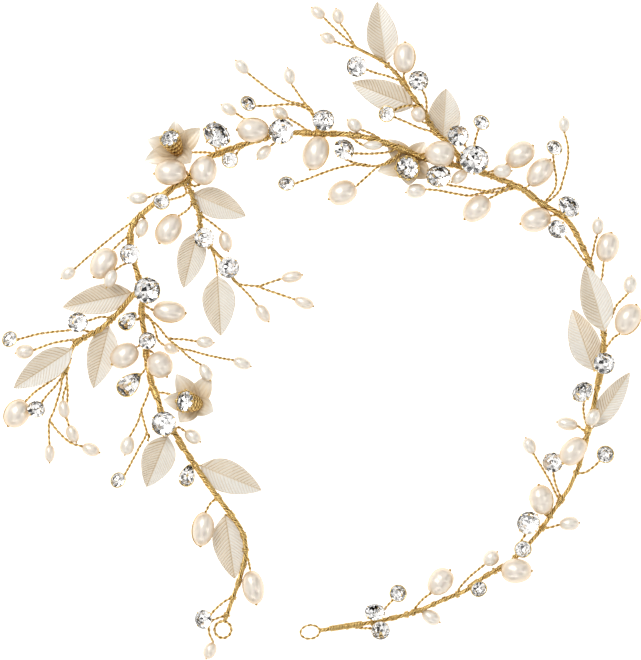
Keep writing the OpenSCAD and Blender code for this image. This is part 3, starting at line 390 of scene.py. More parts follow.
class Shape:
    """Points, faces and one tone per point, gathered for one piece."""

    def __init__(self):
        self.points, self.tones, self.faces, self.slots, self.smooths = [], [], [], [], []
        self.count = 0

    def add(self, points, faces, tone=0.0, slot=0, smooth=True):
        points = points.reshape(-1, 3)
        self.points.append(points)
        self.tones.append(np.broadcast_to(np.ravel(tone), len(points)))
        self.faces += (np.asarray(faces) + self.count).tolist()
        self.slots += [slot] * len(faces)
        self.smooths += [smooth] * len(faces)
        self.count += len(points)

    def sheet(self, grid, tone=0.0, closed=False):
        """A tube: each row of the grid is a ring. It closes on itself, or its two ends are capped."""
        rows, cols = grid.shape[:2]
        i = np.arange(rows if closed else rows - 1)[:, None] * cols
        below = (i + cols) % (rows * cols)
        j = np.arange(cols)[None, :]
        k = (j + 1) % cols
        quads = np.stack([i + j, i + k, below + k, below + j], axis=-1).reshape(-1, 4)
        tone = np.broadcast_to(tone, (rows, cols))
        self.add(grid, quads, tone)
        if not closed:
            for row in (0, rows - 1):
                fan = [(a, (a + 1) % cols, cols) if row else ((a + 1) % cols, a, cols) for a in range(cols)]
                ends = np.append(tone[row], tone[row].mean())
                self.add(np.vstack([grid[row], grid[row].mean(0)]), fan, ends)

    def piece(self, name, materials):
        mesh = bpy.data.meshes.new(name)
        mesh.from_pydata((np.vstack(self.points) * MM).tolist(), [], self.faces)
        mesh.polygons.foreach_set("use_smooth", self.smooths)
        mesh.polygons.foreach_set("material_index", self.slots)
        tone = mesh.attributes.new("tone", "FLOAT", "POINT")
        tone.data.foreach_set("value", np.clip(np.concatenate(self.tones), 0, 1).astype(np.float32))
        for material in materials:
            mesh.materials.append(material)
        mesh.update()
        return in_scene(name, mesh)


def tube(shape, path, radius, tone=0.0, closed=False, outward=None, crevice_shade=CREVICE_SHADE):
    """A round wire. Given outward, the way out of a bundle at each point, its inner side is darker with
    painted shade.
    """
    side, up = frames_along(path, closed)
    turn = full_turn(WIRE_SIDES)
    radius = np.broadcast_to(radius, len(path))[:, None, None]
    around = np.cos(turn)[None, :, None] * side[:, None] + np.sin(turn)[None, :, None] * up[:, None]
    # painted shade: the side of the wire that faces into the bundle takes a deeper tone
    if outward is not None:
        tone = tone + crevice_shade * (0.86 - (around * outward[:, None]).sum(-1))
    shape.sheet(path[:, None] + radius * around, tone, closed)


def rope(shape, path, radius, strands, pitch, start=0.0, tone=0.0, closed=False, crevice_shade=CREVICE_SHADE):
    """Strands twisted round each other along the path, each a little uneven."""
    side, up = frames_along(path, closed)
    run = run_of(path)
    radius = np.broadcast_to(radius, len(path))
    thick = 0.5 if strands == 2 else 0.35  # a strand's share of the rope's radius
    for k in range(strands):
        wander = 0 if closed else 0.22 * np.sin(run * 0.9 + 2.4 * k) + 0.12 * np.sin(run * 2.3 + k)
        turn = math.tau * (run / pitch + k / strands) + wander + start
        reach = radius * (1 - thick) * (1 + (0 if closed else 0.06 * np.sin(run * 1.7 + 1.3 * k)))
        outward = np.cos(turn)[:, None] * side + np.sin(turn)[:, None] * up
        tube(shape, path + reach[:, None] * outward, radius * thick, tone, closed, outward, crevice_shade)


def coil(shape, middle, along, radius, turns, wire_r, pitch, start):
    """Turns of wire wrapped closely round a line through the middle."""
    along = unit(along)
    side = unit(np.cross(along, UP if abs(along[2]) < 0.9 else [1, 0, 0]))
    up = np.cross(side, along)
    t = np.linspace(0, turns, max(6, int(turns * TURN_POINTS)) + 1)
    angle = math.tau * t + start
    outward = np.cos(angle)[:, None] * side + np.sin(angle)[:, None] * up
    path = middle + along * ((t - turns / 2) * pitch)[:, None] + radius * outward
    tube(shape, path, wire_r, outward=outward)


def turned(shape, origin, axes, profile, sides, flutes=0, depth=0.0, tone=0.0):
    """A profile of (radius, height) turned about the third axis, with shallow flutes if asked."""
    profile = np.array(profile)
    angle = full_turn(sides)
    ripple = 1 + depth * np.cos(flutes * angle)
    r = profile[:, :1] * ripple[None, :]
    local = np.stack([r * np.cos(angle), r * np.sin(angle),
                      np.broadcast_to(profile[:, 1:], r.shape)], axis=-1)
    shape.sheet(origin + local @ np.array(axes), tone)


def ball(shape, middle, r):
    profile = [(r * math.sin(a), -r * math.cos(a)) for a in np.linspace(0.25, math.pi - 0.25, 6)]
    turned(shape, middle, np.eye(3), profile, sides=10)


# ---- measuring the CAD

def islands(node):
    """The separate solids of a CAD node: one array of corner points in millimetres for each."""
    mesh = frame["nodes"][node].data
    co = np.empty(len(mesh.vertices) * 3)
    mesh.vertices.foreach_get("co", co)
    spots, which = np.unique(np.round(co.reshape(-1, 3) / MM, 2), axis=0, return_inverse=True)
    mesh.calc_loop_triangles()
    tris = np.empty(len(mesh.loop_triangles) * 3, int)
    mesh.loop_triangles.foreach_get("vertices", tris)
    tris = which.reshape(-1)[tris].reshape(-1, 3)
    label = np.arange(len(spots))
    while True:
        low = label[tris].min(1)
        new = label.copy()
        for k in range(3):
            np.minimum.at(new, tris[:, k], low)
        new = new[new]
        if (new == label).all():
            break
        label = new
    return [spots[label == k] for k in np.unique(label)]


def nearest(things, at):
    return min(things, key=lambda thing: math.dist(thing["at"][:2], at[:2]))


def main_axis(points):
    """Unit vector in the plane along which the points reach furthest."""
    flat = points[:, :2] - points[:, :2].mean(0)
    axis = np.linalg.eigh(flat.T @ flat)[1][:, 1]
    return np.array([axis[0], axis[1], 0.0])


def thin_axis(points, middle):
    """Unit vector along which the points reach least."""
    return np.linalg.eigh((points - middle).T @ (points - middle))[1][:, 0]


def spans(points, axes):
    local = points @ axes.T
    return local.min(0), local.max(0)


def measure_pearl(points):
    along = main_axis(points)
    axes = flat_axes(along)
    low, high = spans(points, axes)
    length, _, width = high - low
    return {"at": ((low + high) / 2) @ axes, "along": along, "length": length + 0.1, "width": width}


def measure_stone(points):
    """A cut stone: its girdle's middle, its axis towards the table, and its setting's diameter."""
    middle = points.mean(0)
    size = np.linalg.eigvalsh((points - middle).T @ (points - middle))
    if size[1] / size[2] < 0.8:  # longer than wide: a pear
        return measure_pear(points)
    up = thin_axis(points, middle)
    up *= np.sign(up[2])
    side = unit(np.cross([0, 1, 0], up))
    axes = np.array([side, np.cross(up, side), up])
    low, high = spans(points, axes)
    d = (high[2] - low[2]) / 0.51  # the CAD stone is 0.51 of it deep, 0.15 of it above the girdle
    at = (low + high) / 2
    at[2] = high[2] - 0.15 * d
    return {"at": at @ axes, "axes": axes, "d": d, "pear": False}


def measure_pear(points):
    axes = flat_axes(main_axis(points))
    low, high = spans(points, axes)
    local = points @ axes.T
    end = 0.3 * (high[0] - low[0])
    near = np.ptp(local[local[:, 0] < low[0] + end][:, 1])
    far = np.ptp(local[local[:, 0] > high[0] - end][:, 1])
    if near > far:  # the round end goes towards +X
        axes[:2] *= -1
        low, high = spans(points, axes)
    length, width = (high - low)[:2] / 0.9  # the CAD stone is 0.9 of the setting
    at = (low + high) / 2
    at[2] = low[2] + 0.3 * width
    return {"at": at @ axes, "axes": axes, "d": width, "length": length, "pear": True}


def measure_leaf(points):
    axes = flat_axes(main_axis(points))
    local = points @ axes.T
    low, high = local.min(0), local.max(0)
    widest = local[local[:, 1].argmax(), 0]
    if widest - low[0] > high[0] - widest:  # the blade is widest on the base's side
        axes[:2] *= -1
        local = points @ axes.T
        low, high = local.min(0), local.max(0)
    base = local[local[:, 0] < low[0] + 0.05]
    tip = local[local[:, 0] > high[0] - 0.05]
    middle = (low[1] + high[1]) / 2
    return {"at": np.array([(low[0] + high[0]) / 2, middle, 0]) @ axes, "axes": axes,
            "base": np.array([low[0], middle, 0]) @ axes, "length": high[0] - low[0],
            "width": high[1] - low[1], "z_base": base[:, 2].min(), "z_tip": tip[:, 2].min()}


# ---- shapes of the parts

def pearl(shape, bead, away, ringed):
    """A freshwater pearl: an uneven oval with a dimple where the wire goes in and comes out."""
    rows, cols = 44, 40
    hole = 0.12  # angle from the end to the wire's hole
    half, r = bead["length"] / 2, bead["width"] / 2
    a = np.linspace(hole, math.pi - hole, rows)[:, None]
    turn = full_turn(cols)[None, :]
    drop = rng.uniform(-0.05, 0.1)
    full = rng.uniform(0.86, 1.0)
    lumps = np.zeros((rows, cols))
    for _ in range(4):
        n, m = rng.integers(1, 4), rng.integers(1, 4)
        swell, start, side = rng.uniform(0.004, 0.013), any_angle(), any_angle()
        lumps += swell * np.sin(n * a + start) * np.cos(m * turn + side)
    if ringed:
        lumps = lumps + 0.018 * np.sin(11 * a) * np.sin(a) ** 0.5
    radius = r * np.sin(a) ** full * (1 - drop * np.cos(a)) * (1 + lumps)
    dimple = np.exp(-((np.sin(a) - hole) / 0.09) ** 2)
    x = (-half * np.cos(a) + 0 * turn) * (1 - 0.03 * dimple)
    local = np.stack([x, radius * np.cos(turn), radius * np.sin(turn)], axis=-1)
    # painted shade: the pearl is warmer and darker where its surface turns away from straight up or down,
    # round the wire holes and towards its ends
    belt = 1 - np.abs(np.sin(a) * np.sin(turn))
    tone = 0.16 + 0.5 * belt ** 0.8 + 0.2 * dimple + 0.14 * np.abs(np.cos(a)) ** 4
    shape.sheet(bead["at"] + local @ flat_axes(away), tone)


def ring_outline(r):
    return lambda angle: (r * math.cos(angle), r * math.sin(angle))


def pear_outline(length, width):
    """A drop: round towards +X and pointed at the other end."""
    def point(angle):
        c, s = math.cos(angle), math.sin(angle)
        narrow = 1 - 0.3 * ((1 - c) / 2) ** 2 - 0.05 * (1 - c)
        return (length / 2 * c, width / 2 * s * max(0.1, narrow) * (1 + 0.12 * c))
    return point


def cut_stone(shape, stone, outline, spin):
    """A brilliant: table, stars, kites and girdle facets over a foiled point. Slot 1 is the foil.

    The heights are shares of the diameter, and table and star are shares of the outline.
    """
    step = math.radians(22.5)

    def at(share, steps, z):
        x, y = outline(steps * step + spin)
        return (share * x, share * y, z * stone["d"])

    table, star, eighth = 0.58, 0.775, math.cos(step)
    top, girdle, low, point = 0.155, 0.016, -0.03, -0.36
    star_z = top - (star * eighth - table) * (top - girdle) / (1 - table)
    scallop = point + (low - point) / eighth  # where a flat face of the point meets the girdle
    points = [at(table, 2 * k, top) for k in range(8)]  # 0-7
    points += [at(star, 2 * k + 1, star_z) for k in range(8)]  # 8-15
    points += [at(1, j, girdle) for j in range(16)]  # 16-31
    points += [at(1, j, scallop if j % 2 else low) for j in range(16)]  # 32-47
    points += [at(0, 0, point), at(0, 0, top)]  # 48 and 49
    world = stone["at"] + np.array(points) @ stone["axes"]
    crown, foil = [], []
    for k in range(8):
        n, b = (k + 1) % 8, (k - 1) % 8
        g0, g1, g2 = 2 * k, 2 * k + 1, (2 * k + 2) % 16
        crown += [(49, k, n), (k, 8 + k, n), (8 + b, 16 + g0, k), (k, 16 + g0, 8 + k),
                  (8 + k, 16 + g0, 16 + g1), (8 + k, 16 + g1, 16 + g2)]
        foil += [(32 + g0, 48, 32 + g1), (32 + g1, 48, 32 + g2)]
        for g in (g0, g1):
            h = (g + 1) % 16
            crown += [(16 + g, 32 + g, 32 + h), (16 + g, 32 + h, 16 + h)]
    shape.add(world, crown, smooth=False)
    shape.add(world, foil, slot=1, smooth=False)


def setting(shape, stone):
    """The cup under a round stone: a bezel for the small ones, claws for the others."""
    d, at, axes = stone["d"], stone["at"], stone["axes"]
    cup = np.array([(0.1, -0.44), (0.2, -0.42), (0.3, -0.26), (0.43, -0.12), (0.465, -0.07), (0.45, -0.05),
                    (0.4, -0.09), (0.05, -0.385)])
    turned(shape, at, axes, cup * d, sides=48, flutes=12, depth=0.025)
    turn = full_turn(40)
    rim_r, rim_wire, rim_z = (0.475, 0.036, -0.012) if d < BEZEL_D else (0.466, 0.02, -0.05)
    rim = np.column_stack([rim_r * np.cos(turn), rim_r * np.sin(turn), np.full(len(turn), rim_z)]) * d
    tube(shape, at + rim @ axes, rim_wire * d, closed=True)
    if d >= BEZEL_D:
        claws = 4 if d < FOUR_CLAW_D else 6
        for k in range(claws):
            claw(shape, stone, math.tau * (k + 0.5) / claws)


def claw(shape, stone, angle):
    """A claw from the cup's side over the girdle: reaches and heights in shares of the diameter."""
    d = stone["d"]
    line = np.array([(reach * math.cos(angle), reach * math.sin(angle), z)
                     for reach, z in [(0.47, -0.12), (0.495, 0.0), (0.48, 0.04), (0.43, 0.062)]])
    line = resample(stone["at"] + line * d @ stone["axes"], 0.2)
    tube(shape, line, np.linspace(0.036, 0.026, len(line)) * d)


def pear_setting(shape, stone):
    """The cup under a pear stone: each ring is a share of its outline, at a share of its width."""
    d = stone["d"]
    outline = pear_outline(stone["length"] * 0.97, d * 0.97)
    edge = np.array([outline(a) for a in full_turn(48)])
    rings = [(0.25, -0.4), (0.5, -0.37), (0.78, -0.2), (0.97, -0.05), (1.03, 0.0), (0.97, 0.02), (0.9, -0.03),
             (0.3, -0.3)]
    grid = [np.column_stack([edge * share, np.full(len(edge), z * d)]) for share, z in rings]
    shape.sheet(stone["at"] + np.array(grid) @ stone["axes"])


def blade(shape, base, axes, length, half, height, tone, thick, rows, cols, sweep=0.0):
    """A stamped blade: half(x) is its half width there, and its rows sweep from the midrib to the tip.

    height and tone are worked out on the grid from the place along the midrib, the side and x, y.
    """
    t = np.linspace(0, 1, rows)[:, None]
    s = np.linspace(-1, 1, cols)[None, :]
    ease = np.clip(t / 0.12, 0, 1) * np.clip((1 - t) / 0.06, 0, 1)
    x = t * length + 0 * s
    for _ in range(30):  # the row's end lies on the outline
        x = 0.5 * x + 0.5 * (t * length + sweep * ease * half(x) * np.abs(s) ** 1.2)
    x = np.minimum(x, length)
    y = half(x) * s
    z = height(x, y, t, s)
    shade = tone(x, y, t, s)
    top = np.stack([x, y, z], -1)
    low = np.stack([x, y, z - thick], -1)[:, ::-1]
    ring = np.concatenate([top, low], axis=1)[:, ::-1]
    shades = np.concatenate([shade, shade[:, ::-1]], axis=1)[:, ::-1]
    shape.sheet(base + ring @ axes, shades)


def leaf(shape, plate):
    """A leaf folded along its midrib, its upper half steeper and painted darker in shade, with herringbone
    veins.
    """
    length, width, axes = plate["length"], plate["width"], plate["axes"]
    veins = int(rng.integers(18, 21))
    steep = math.tan(math.radians(rng.uniform(15, 21)))
    flat = math.tan(math.radians(rng.uniform(2, 6)))
    left_is_upper = axes[1] @ np.array([-0.3, 1, 0]) > 0
    left, right = (steep, flat) if left_is_upper else (flat, steep)
    shift = rng.uniform(0, 0.5)

    def half(x):
        share = np.clip(x / length, 0, 1)
        power = 0.74 + 0.5 * (1 - share) ** 4  # slender at the base
        return np.maximum(0.12, width / 2 * np.sin(math.pi * share ** 0.78) ** power)

    def groove(t, s):
        offset = np.where(s > 0, 0.5, 0.0)
        wave = np.sin(math.pi * (t * veins + offset + 0.25 * np.sin(7 * t + 5 * shift)))
        return np.exp(-(wave / 0.36) ** 2)

    def height(x, y, t, s):
        fold = np.where(y > 0, y * left, -y * right)
        rise = plate["z_base"] + (plate["z_tip"] - plate["z_base"]) * x / length + 0.25
        bow = 0.35 * np.sin(math.pi * t)
        rib = 0.14 * np.exp(-(y / 0.3) ** 2) - 0.1 * np.exp(-(y / 0.12) ** 2)
        edge = 0.1 * np.clip(np.abs(s) - 0.93, 0, 1) / 0.07
        veined = 0.16 * groove(t, s) * (1 - np.exp(-(y / 0.35) ** 2))
        return rise + fold * 0.8 + bow + rib + edge - veined

    def tone(x, y, t, s):
        # painted shade: the upper half, the vein grooves and the midrib's groove are darker
        rib = 0.45 * np.exp(-(y / 0.16) ** 2)
        shaded = (y > 0) == left_is_upper
        # the painted shade in the vein grooves is stronger in some places than others
        uneven_groove_shade = 0.75 + 0.25 * np.sin(11 * t + 3 * s + 6 * shift)
        side = np.where(shaded, 0.24, 0.0) + np.where(shaded, 0.75, 0.42) * uneven_groove_shade * groove(t, s)
        # painted highlight: the raised edge is paler; the outermost row takes a middle tone
        pale_edge = 1 - 0.6 * (np.abs(s) > 0.93)
        return np.where(np.abs(s) > 0.98, 0.62, np.clip(side + rib, 0, 1) * pale_edge)

    blade(shape, plate["base"], axes, length, half, height, tone, 0.32, veins * 9, 33, sweep=0.9)


def petal(shape, middle, tip, z):
    """A pointed petal, cupped along its middle and streaked from foot to tip."""
    run = np.array([tip[0] - middle[0], tip[1] - middle[1], 0.0])
    length = np.linalg.norm(run)
    lean = rng.uniform(-0.12, 0.12)
    fine = any_angle(3)

    def half(x):
        share = 0.12 + 0.88 * np.clip(x / length, 0, 1)
        return np.maximum(0.4, 3.15 * np.sin(math.pi * share ** 0.9) ** 0.75)

    def height(x, y, t, s):
        streak = 0.05 * np.sin(9 * s + fine[0]) * np.sin(math.pi * t)
        return 0.5 + 1.1 * t ** 1.5 - 1.0 * t ** 4 + 0.9 * s ** 2 * np.sin(math.pi * t) + lean * y + streak

    def tone(x, y, t, s):
        streak = 0.16 * np.sin(17 * s + fine[1] + 2 * t) + 0.1 * np.sin(31 * s + fine[2])
        return np.clip(0.85 - 0.95 * t + streak * (1 - t) + 0.1 * (1 - np.abs(s)), 0, 1)

    blade(shape, lift(middle, z), flat_axes(run / length), length, half, height, tone, 0.3, 30, 28)


def flower_cup(shape, foot, stone):
    """The cup that holds a flower's stone, in beaded rings. Its foot is that far under the stone."""
    d, axes = stone["d"], stone["axes"]
    rows, shades = [], []
    angle = full_turn(72)
    petals = np.cos(CUP_SCALLOPS * angle)
    profile = [(0.1, 1.0), (0.24, 0.99)]  # share of the diameter, depth as a share of foot
    for z in np.linspace(0.95, 0.06, 28):
        ring = math.cos(math.tau * CUP_RINGS * z)
        profile.append((0.26 + 0.27 * (1 - z) ** 0.8 + 0.03 * ring, z))
    for share, z in profile + [(0.54, -0.012), (0.5, 0.0), (0.44, 0.06), (0.1, 0.6)]:
        # painted shade in the grooves between the cup's rings, and a painted highlight on the beads' tops
        ring = 0.5 - 0.5 * math.cos(math.tau * CUP_RINGS * z)
        beads = np.cos(CUP_BEADS * angle + 20 * z)
        r = share * d * (1 + 0.035 * petals * (1 - z) + 0.03 * beads)
        height = -z * foot + 0.035 * d * petals * (1 - z) ** 2
        rows.append(np.column_stack([r * np.cos(angle), r * np.sin(angle), height]))
        shades.append(np.clip(0.12 + 0.7 * ring - 0.25 * beads, 0, 1))
    shape.sheet(stone["at"] + np.array(rows) @ axes, np.array(shades))
    for a in full_turn(CUP_SCALLOPS):
        out = np.array([0.47 * math.cos(a), 0.47 * math.sin(a), 0.03])
        ball(shape, stone["at"] + out * d @ axes, 0.06 * d)


# ---- materials

def set_inputs(node, **values):
    for key, value in values.items():
        node.inputs[key.replace("_", " ")].default_value = value


def shader(name, **values):
    """A Principled material with fixed values, and its node tree."""
    material = bpy.data.materials.new(name)
    material.use_nodes = True
    tree = material.node_tree
    principled = tree.nodes["Principled BSDF"]
    set_inputs(principled, **values)
    return material, tree, principled


def colours(tree, source, stops):
    ramp = tree.nodes.new("ShaderNodeValToRGB")
    while len(ramp.color_ramp.elements) < len(stops):
        ramp.color_ramp.elements.new(0.5)
    for element, (at, colour) in zip(ramp.color_ramp.elements, stops):
        element.position = at
        element.color = (*colour, 1)
    tree.links.new(source, ramp.inputs["Fac"])
    return ramp.outputs["Color"]


def noise(tree, scale, detail=3.0, space="Object"):
    place = tree.nodes.new("ShaderNodeTexCoord")
    texture = tree.nodes.new("ShaderNodeTexNoise")
    set_inputs(texture, Scale=scale, Detail=detail)
    tree.links.new(place.outputs[space], texture.inputs["Vector"])
    return texture.outputs["Fac"]


def paint(tree, principled, grain, share, stops):
    """The base colour by the points' tone (mostly painted shade), plus a share of the grain's swing about its
    middle.
    """
    attribute = tree.nodes.new("ShaderNodeAttribute")
    attribute.attribute_name = "tone"
    centre = tree.nodes.new("ShaderNodeMath")
    centre.operation = "SUBTRACT"
    tree.links.new(attribute.outputs["Fac"], centre.inputs[0])
    centre.inputs[1].default_value = share / 2
    total = tree.nodes.new("ShaderNodeMath")
    total.operation = "MULTIPLY_ADD"
    tree.links.new(grain, total.inputs[0])
    total.inputs[1].default_value = share
    tree.links.new(centre.outputs[0], total.inputs[2])
    tree.links.new(colours(tree, total.outputs[0], stops), principled.inputs["Base Color"])


def bump(tree, principled, height, distance, strength):
    node = tree.nodes.new("ShaderNodeBump")
    set_inputs(node, Distance=distance, Strength=strength)
    tree.links.new(height, node.inputs["Height"])
    tree.links.new(node.outputs["Normal"], principled.inputs["Normal"])


def gold_material(name, roughness, bright, middle, deep):
    material, tree, principled = shader(name, Metallic=1.0)
    # the tone's deep end is painted shade in the crevices; the grain adds uneven colour
    paint(tree, principled, noise(tree, 900.0, 4.0), 0.9, [(0.0, bright), (0.4, middle), (1.0, deep)])
    spread = tree.nodes.new("ShaderNodeMapRange")
    set_inputs(spread, To_Min=roughness * 0.75, To_Max=roughness * 1.35)
    tree.links.new(noise(tree, 400.0), spread.inputs["Value"])
    tree.links.new(spread.outputs["Result"], principled.inputs["Roughness"])
    bump(tree, principled, noise(tree, 1500.0), 0.00006, 0.5)
    return material


def pearl_material(name, tint, pale, warm, rim):
    material, tree, principled = shader(
        name, Metallic=0.3, Roughness=0.3, IOR=1.6, Coat_Weight=0.9, Coat_Roughness=0.16, Coat_IOR=1.14,
        Coat_Tint=(*tint, 1), Subsurface_Weight=0.1, Subsurface_Radius=(0.002, 0.0015, 0.001),
        Subsurface_Scale=0.6)
    # the stops run from the pale face to the painted shade of the rim
    stops = [(0.0, pale), (0.3, tuple(0.94 * p for p in pale)), (0.7, warm), (1.0, rim)]
    paint(tree, principled, noise(tree, 160.0), 0.3, stops)
    bump(tree, principled, noise(tree, 260.0, 2.0), 0.00012, 0.5)
    return material


def glass_material():
    return shader("crystal_glass", Base_Color=(1, 1, 1, 1), Roughness=0.0, IOR=1.56,
                  Transmission_Weight=1.0)[0]


def foil_material():
    material, tree, principled = shader("crystal_foil", Metallic=1.0, Roughness=0.03)
    stops = [(0.3, (0.90, 0.89, 0.88)), (0.7, (0.99, 0.98, 0.97))]
    tree.links.new(colours(tree, noise(tree, 500.0), stops), principled.inputs["Base Color"])
    return material


def enamel_material(name, roughness, metallic, pale, middle, deep):
    material, tree, principled = shader(name, Roughness=roughness, Metallic=metallic, Coat_Weight=0.2,
                                        Coat_Roughness=0.3)
    grain = noise(tree, 1200.0, 2.0)
    paint(tree, principled, grain, 0.25, [(0.0, pale), (0.45, middle), (1.0, deep)])
    bump(tree, principled, grain, 0.00005, 0.4)
    return material


GOLD = gold_material("gold_wire", 0.26, (0.74, 0.53, 0.21), (0.46, 0.275, 0.07), (0.09, 0.04, 0.007))
CUP_GOLD = gold_material("gold_setting", 0.2, (0.74, 0.55, 0.23), (0.45, 0.275, 0.08), (0.11, 0.05, 0.01))
NACRE = pearl_material(
    "pearl", (0.96, 0.90, 0.80), (1.0, 0.96, 0.93), (0.84, 0.70, 0.55), (0.66, 0.46, 0.25))
RICE_NACRE = pearl_material(
    "rice_pearl", (0.96, 0.92, 0.84), (1.0, 0.97, 0.94), (0.84, 0.74, 0.63), (0.64, 0.5, 0.33))
GLASS = glass_material()
FOIL = foil_material()
LEAF = enamel_material(
    "leaf_enamel", 0.34, 0.08, (0.98, 0.94, 0.86), (0.83, 0.69, 0.50), (0.48, 0.32, 0.14))
PETAL = enamel_material(
    "petal_enamel", 0.32, 0.1, (1.0, 0.94, 0.83), (0.88, 0.72, 0.50), (0.52, 0.35, 0.16))


# ---- the object

def put(shape, node, slot, *materials):
    """Makes the piece that stands for a CAD node, on that node's body."""
    body = next(b for b in sorted(STEMS, key=len, reverse=True) if node.startswith(b + "_"))
    made = shape.piece(node + "_fine", materials)
    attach(made, body)
    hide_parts(node)


def first_named(*names):
    return next((n for n in names if n in frame["nodes"]), None)


def stem_line(body):
    return smooth([lift(p) for p in STEMS[body]], STEM_STEP)


def clear_of_bends(line):
    """The part of a stem's line that its own section carries: it stops where a joint's rope starts."""
    keep = np.ones(len(line), bool)
    for bend in BENDS.values():
        keep &= gaps(line[:, :2], np.array(bend)) > BEND_GAP
    first, last = np.flatnonzero(keep)[[0, -1]]
    return line[first:last + 1]


def add_wire(shape, points, end, stem):
    """A twisted wire, rising evenly from the stem to what it carries, and the turns that tie it on."""
    heights = [STEM_Z + (end[2] - STEM_Z) * i / len(points) for i in range(len(points))]
    path = smooth([lift(p, z) for p, z in zip(points, heights)] + [end], WIRE_STEP)
    rope(shape, path, SPRIG_R, 2, rng.uniform(2.6, 3.4), start=any_angle(), crevice_shade=0.26)
    gap = gaps(stem, lift(points[0]))
    k = int(gap.argmin())
    if gap[k] < TIE_REACH and 2 < k < len(stem) - 3:
        along = stem[k + 1] - stem[k - 1]
        coil(shape, stem[k], along, STEM_R + 0.12, TIE_TURNS, TIE_R, WRAP_PITCH, any_angle())


def add_pearl_wire(shape, bead, points, stem, index):
    """The wire to a pearl, the strand through it, its end, and on some the strand's way back."""
    at, along, length = bead["at"], bead["along"], bead["length"]
    away = along * (1 if (at - lift(points[-1]))[:2] @ along[:2] > 0 else -1)
    across = np.cross(UP, away)
    near = at - away * (length / 2 - 0.1)
    add_wire(shape, points, near, stem)
    far = at + away * length / 2
    tube(shape, resample(np.array([near, far + away * 0.1]), 1.5), STRAND_R)
    knot = 0.52 if bead["width"] > LARGE_PEARL else 0.34
    profile = [(knot * 0.7, -0.25), (knot, -0.05), (knot * 0.75, 0.2), (knot * 0.3, 0.42)]
    turned(shape, far, [across, UP, away], profile, sides=10, tone=0.3)
    if bead["width"] > LARGE_PEARL and index % 3 == 0:
        swing = 1 if index % 2 else -1
        lean = 0.35  # of the strand's way back, over the pearl's side
        out = across * swing * math.cos(lean) + UP * math.sin(lean)
        a = np.linspace(0.14, math.pi - 0.14, 24)[:, None]
        tube(shape, at + np.cos(a) * length / 2 * away + np.sin(a) * (bead["width"] / 2 + 0.1) * out, 0.14)
    return away


def build_stem(body):
    """The twisted rope of a section, with fine wire wrapped round it here and there."""
    line = clear_of_bends(stem_line(body))
    shape = Shape()
    start_r, end_r = STEM_RADII[body]
    radius = np.linspace(start_r, end_r, len(line))
    rope(shape, line, radius, STEM_STRANDS, STEM_PITCH, tone=0.05)
    # painted shade: the core, seen only between the strands, takes a deep tone
    tube(shape, line, radius * STEM_CORE, 0.9)
    margin = 14  # points of the line left free at each end
    k = margin
    while k < len(line) - margin:
        turns = rng.uniform(1.5, 5.5)
        along = line[k + 1] - line[k - 1]
        coil(shape, line[k], along, radius[k] + 0.08, turns, WRAP_R, WRAP_PITCH, any_angle())
        k += int((turns * WRAP_PITCH + rng.uniform(2.5, 8)) / STEM_STEP)
    put(shape, body + "_stem", "gold_wire", GOLD)


def build_pearls(body, kind, slot, material, wires, stem):
    node = f"{body}_{kind}"
    if node not in frame["nodes"]:
        return
    found = [measure_pearl(i) for i in islands(node)]
    beads = Shape()
    for index, (at, *points) in enumerate(WIRES[node]):
        bead = nearest(found, at)
        away = add_pearl_wire(wires, bead, points, stem, index)
        pearl(beads, bead, away, at in RINGED)
    put(beads, node, slot, material)


def build_stones(body, crystals, gems, wires, stem):
    """The cut stones and their settings, and the stones that the flowers' cups hold."""
    stones, cups = Shape(), Shape()
    for at, *points in WIRES[body + "_stones"]:
        stone = nearest(gems, at)
        d = stone["d"]
        if stone["pear"]:
            add_wire(wires, points, stone["at"] - UP * 0.38 * d, stem)
            pear_setting(cups, stone)
            cut_stone(stones, stone, pear_outline(stone["length"] * 0.93, d * 0.92), 0)
        else:
            add_wire(wires, points, stone["at"] - stone["axes"][2] * d * 0.41, stem)
            setting(cups, stone)
            outline = ring_outline(d * (0.455 if d < BEZEL_D else 0.482))
            cut_stone(stones, stone, outline, rng.uniform(0, 0.8))
    for *_, gem, _ in FLOWERS.get(body, []):
        stone = nearest(gems, gem)
        cut_stone(stones, stone, ring_outline(stone["d"] * 0.47), 0.3)
    put(stones, crystals, "crystal", GLASS, FOIL)
    put(cups, first_named(body + "_settings", body + "_setting"), "gold_setting", CUP_GOLD)


def build_leaves(body, leaves, wires, stem):
    found = [measure_leaf(i) for i in islands(leaves)]
    blades = Shape()
    for at, *points in WIRES[body + "_leaves"]:
        plate = nearest(found, at)
        add_wire(wires, points, plate["base"] + UP * (plate["z_base"] + 0.3), stem)
        leaf(blades, plate)
    put(blades, leaves, "leaf_enamel", LEAF)


def build_flowers(body, gems, wires, stem):
    """Five petals on a disc, and the cup over them."""
    petals, cups = Shape(), Shape()
    disc = [(0.1, 0.1), (1.9, 0.1), (2.0, 0.5), (1.2, 0.8), (0.1, 0.85)]
    for middle, tips, z, foot, gem, points in FLOWERS[body]:
        stone = nearest(gems, gem)
        for tip in tips:
            petal(petals, middle, tip, z)
        turned(petals, lift(middle, z), np.eye(3), disc, sides=24, tone=0.8)
        flower_cup(cups, np.linalg.norm(stone["at"] - lift(foot, z + 0.5)), stone)
        add_wire(wires, points, lift(foot, z + 0.3), stem)
    put(petals, body + "_flower_petals", "petal_enamel", PETAL)
    put(cups, first_named(body + "_flower_cups", body + "_flower_cup"), "gold_setting", CUP_GOLD)


def build_bindings(node):
    coils = Shape()
    for turn in islands(node):
        middle = (turn.min(0) + turn.max(0)) / 2
        along = thin_axis(turn, turn.mean(0))
        along *= 1 if along[0] + 0.3 * along[1] > 0 else -1
        radius = gaps(turn, middle).max() - STRAND_R
        coil(coils, middle, along, radius, 1.02, 0.225, 0.46, 1.1)
    put(coils, node, "gold_wire", GOLD)


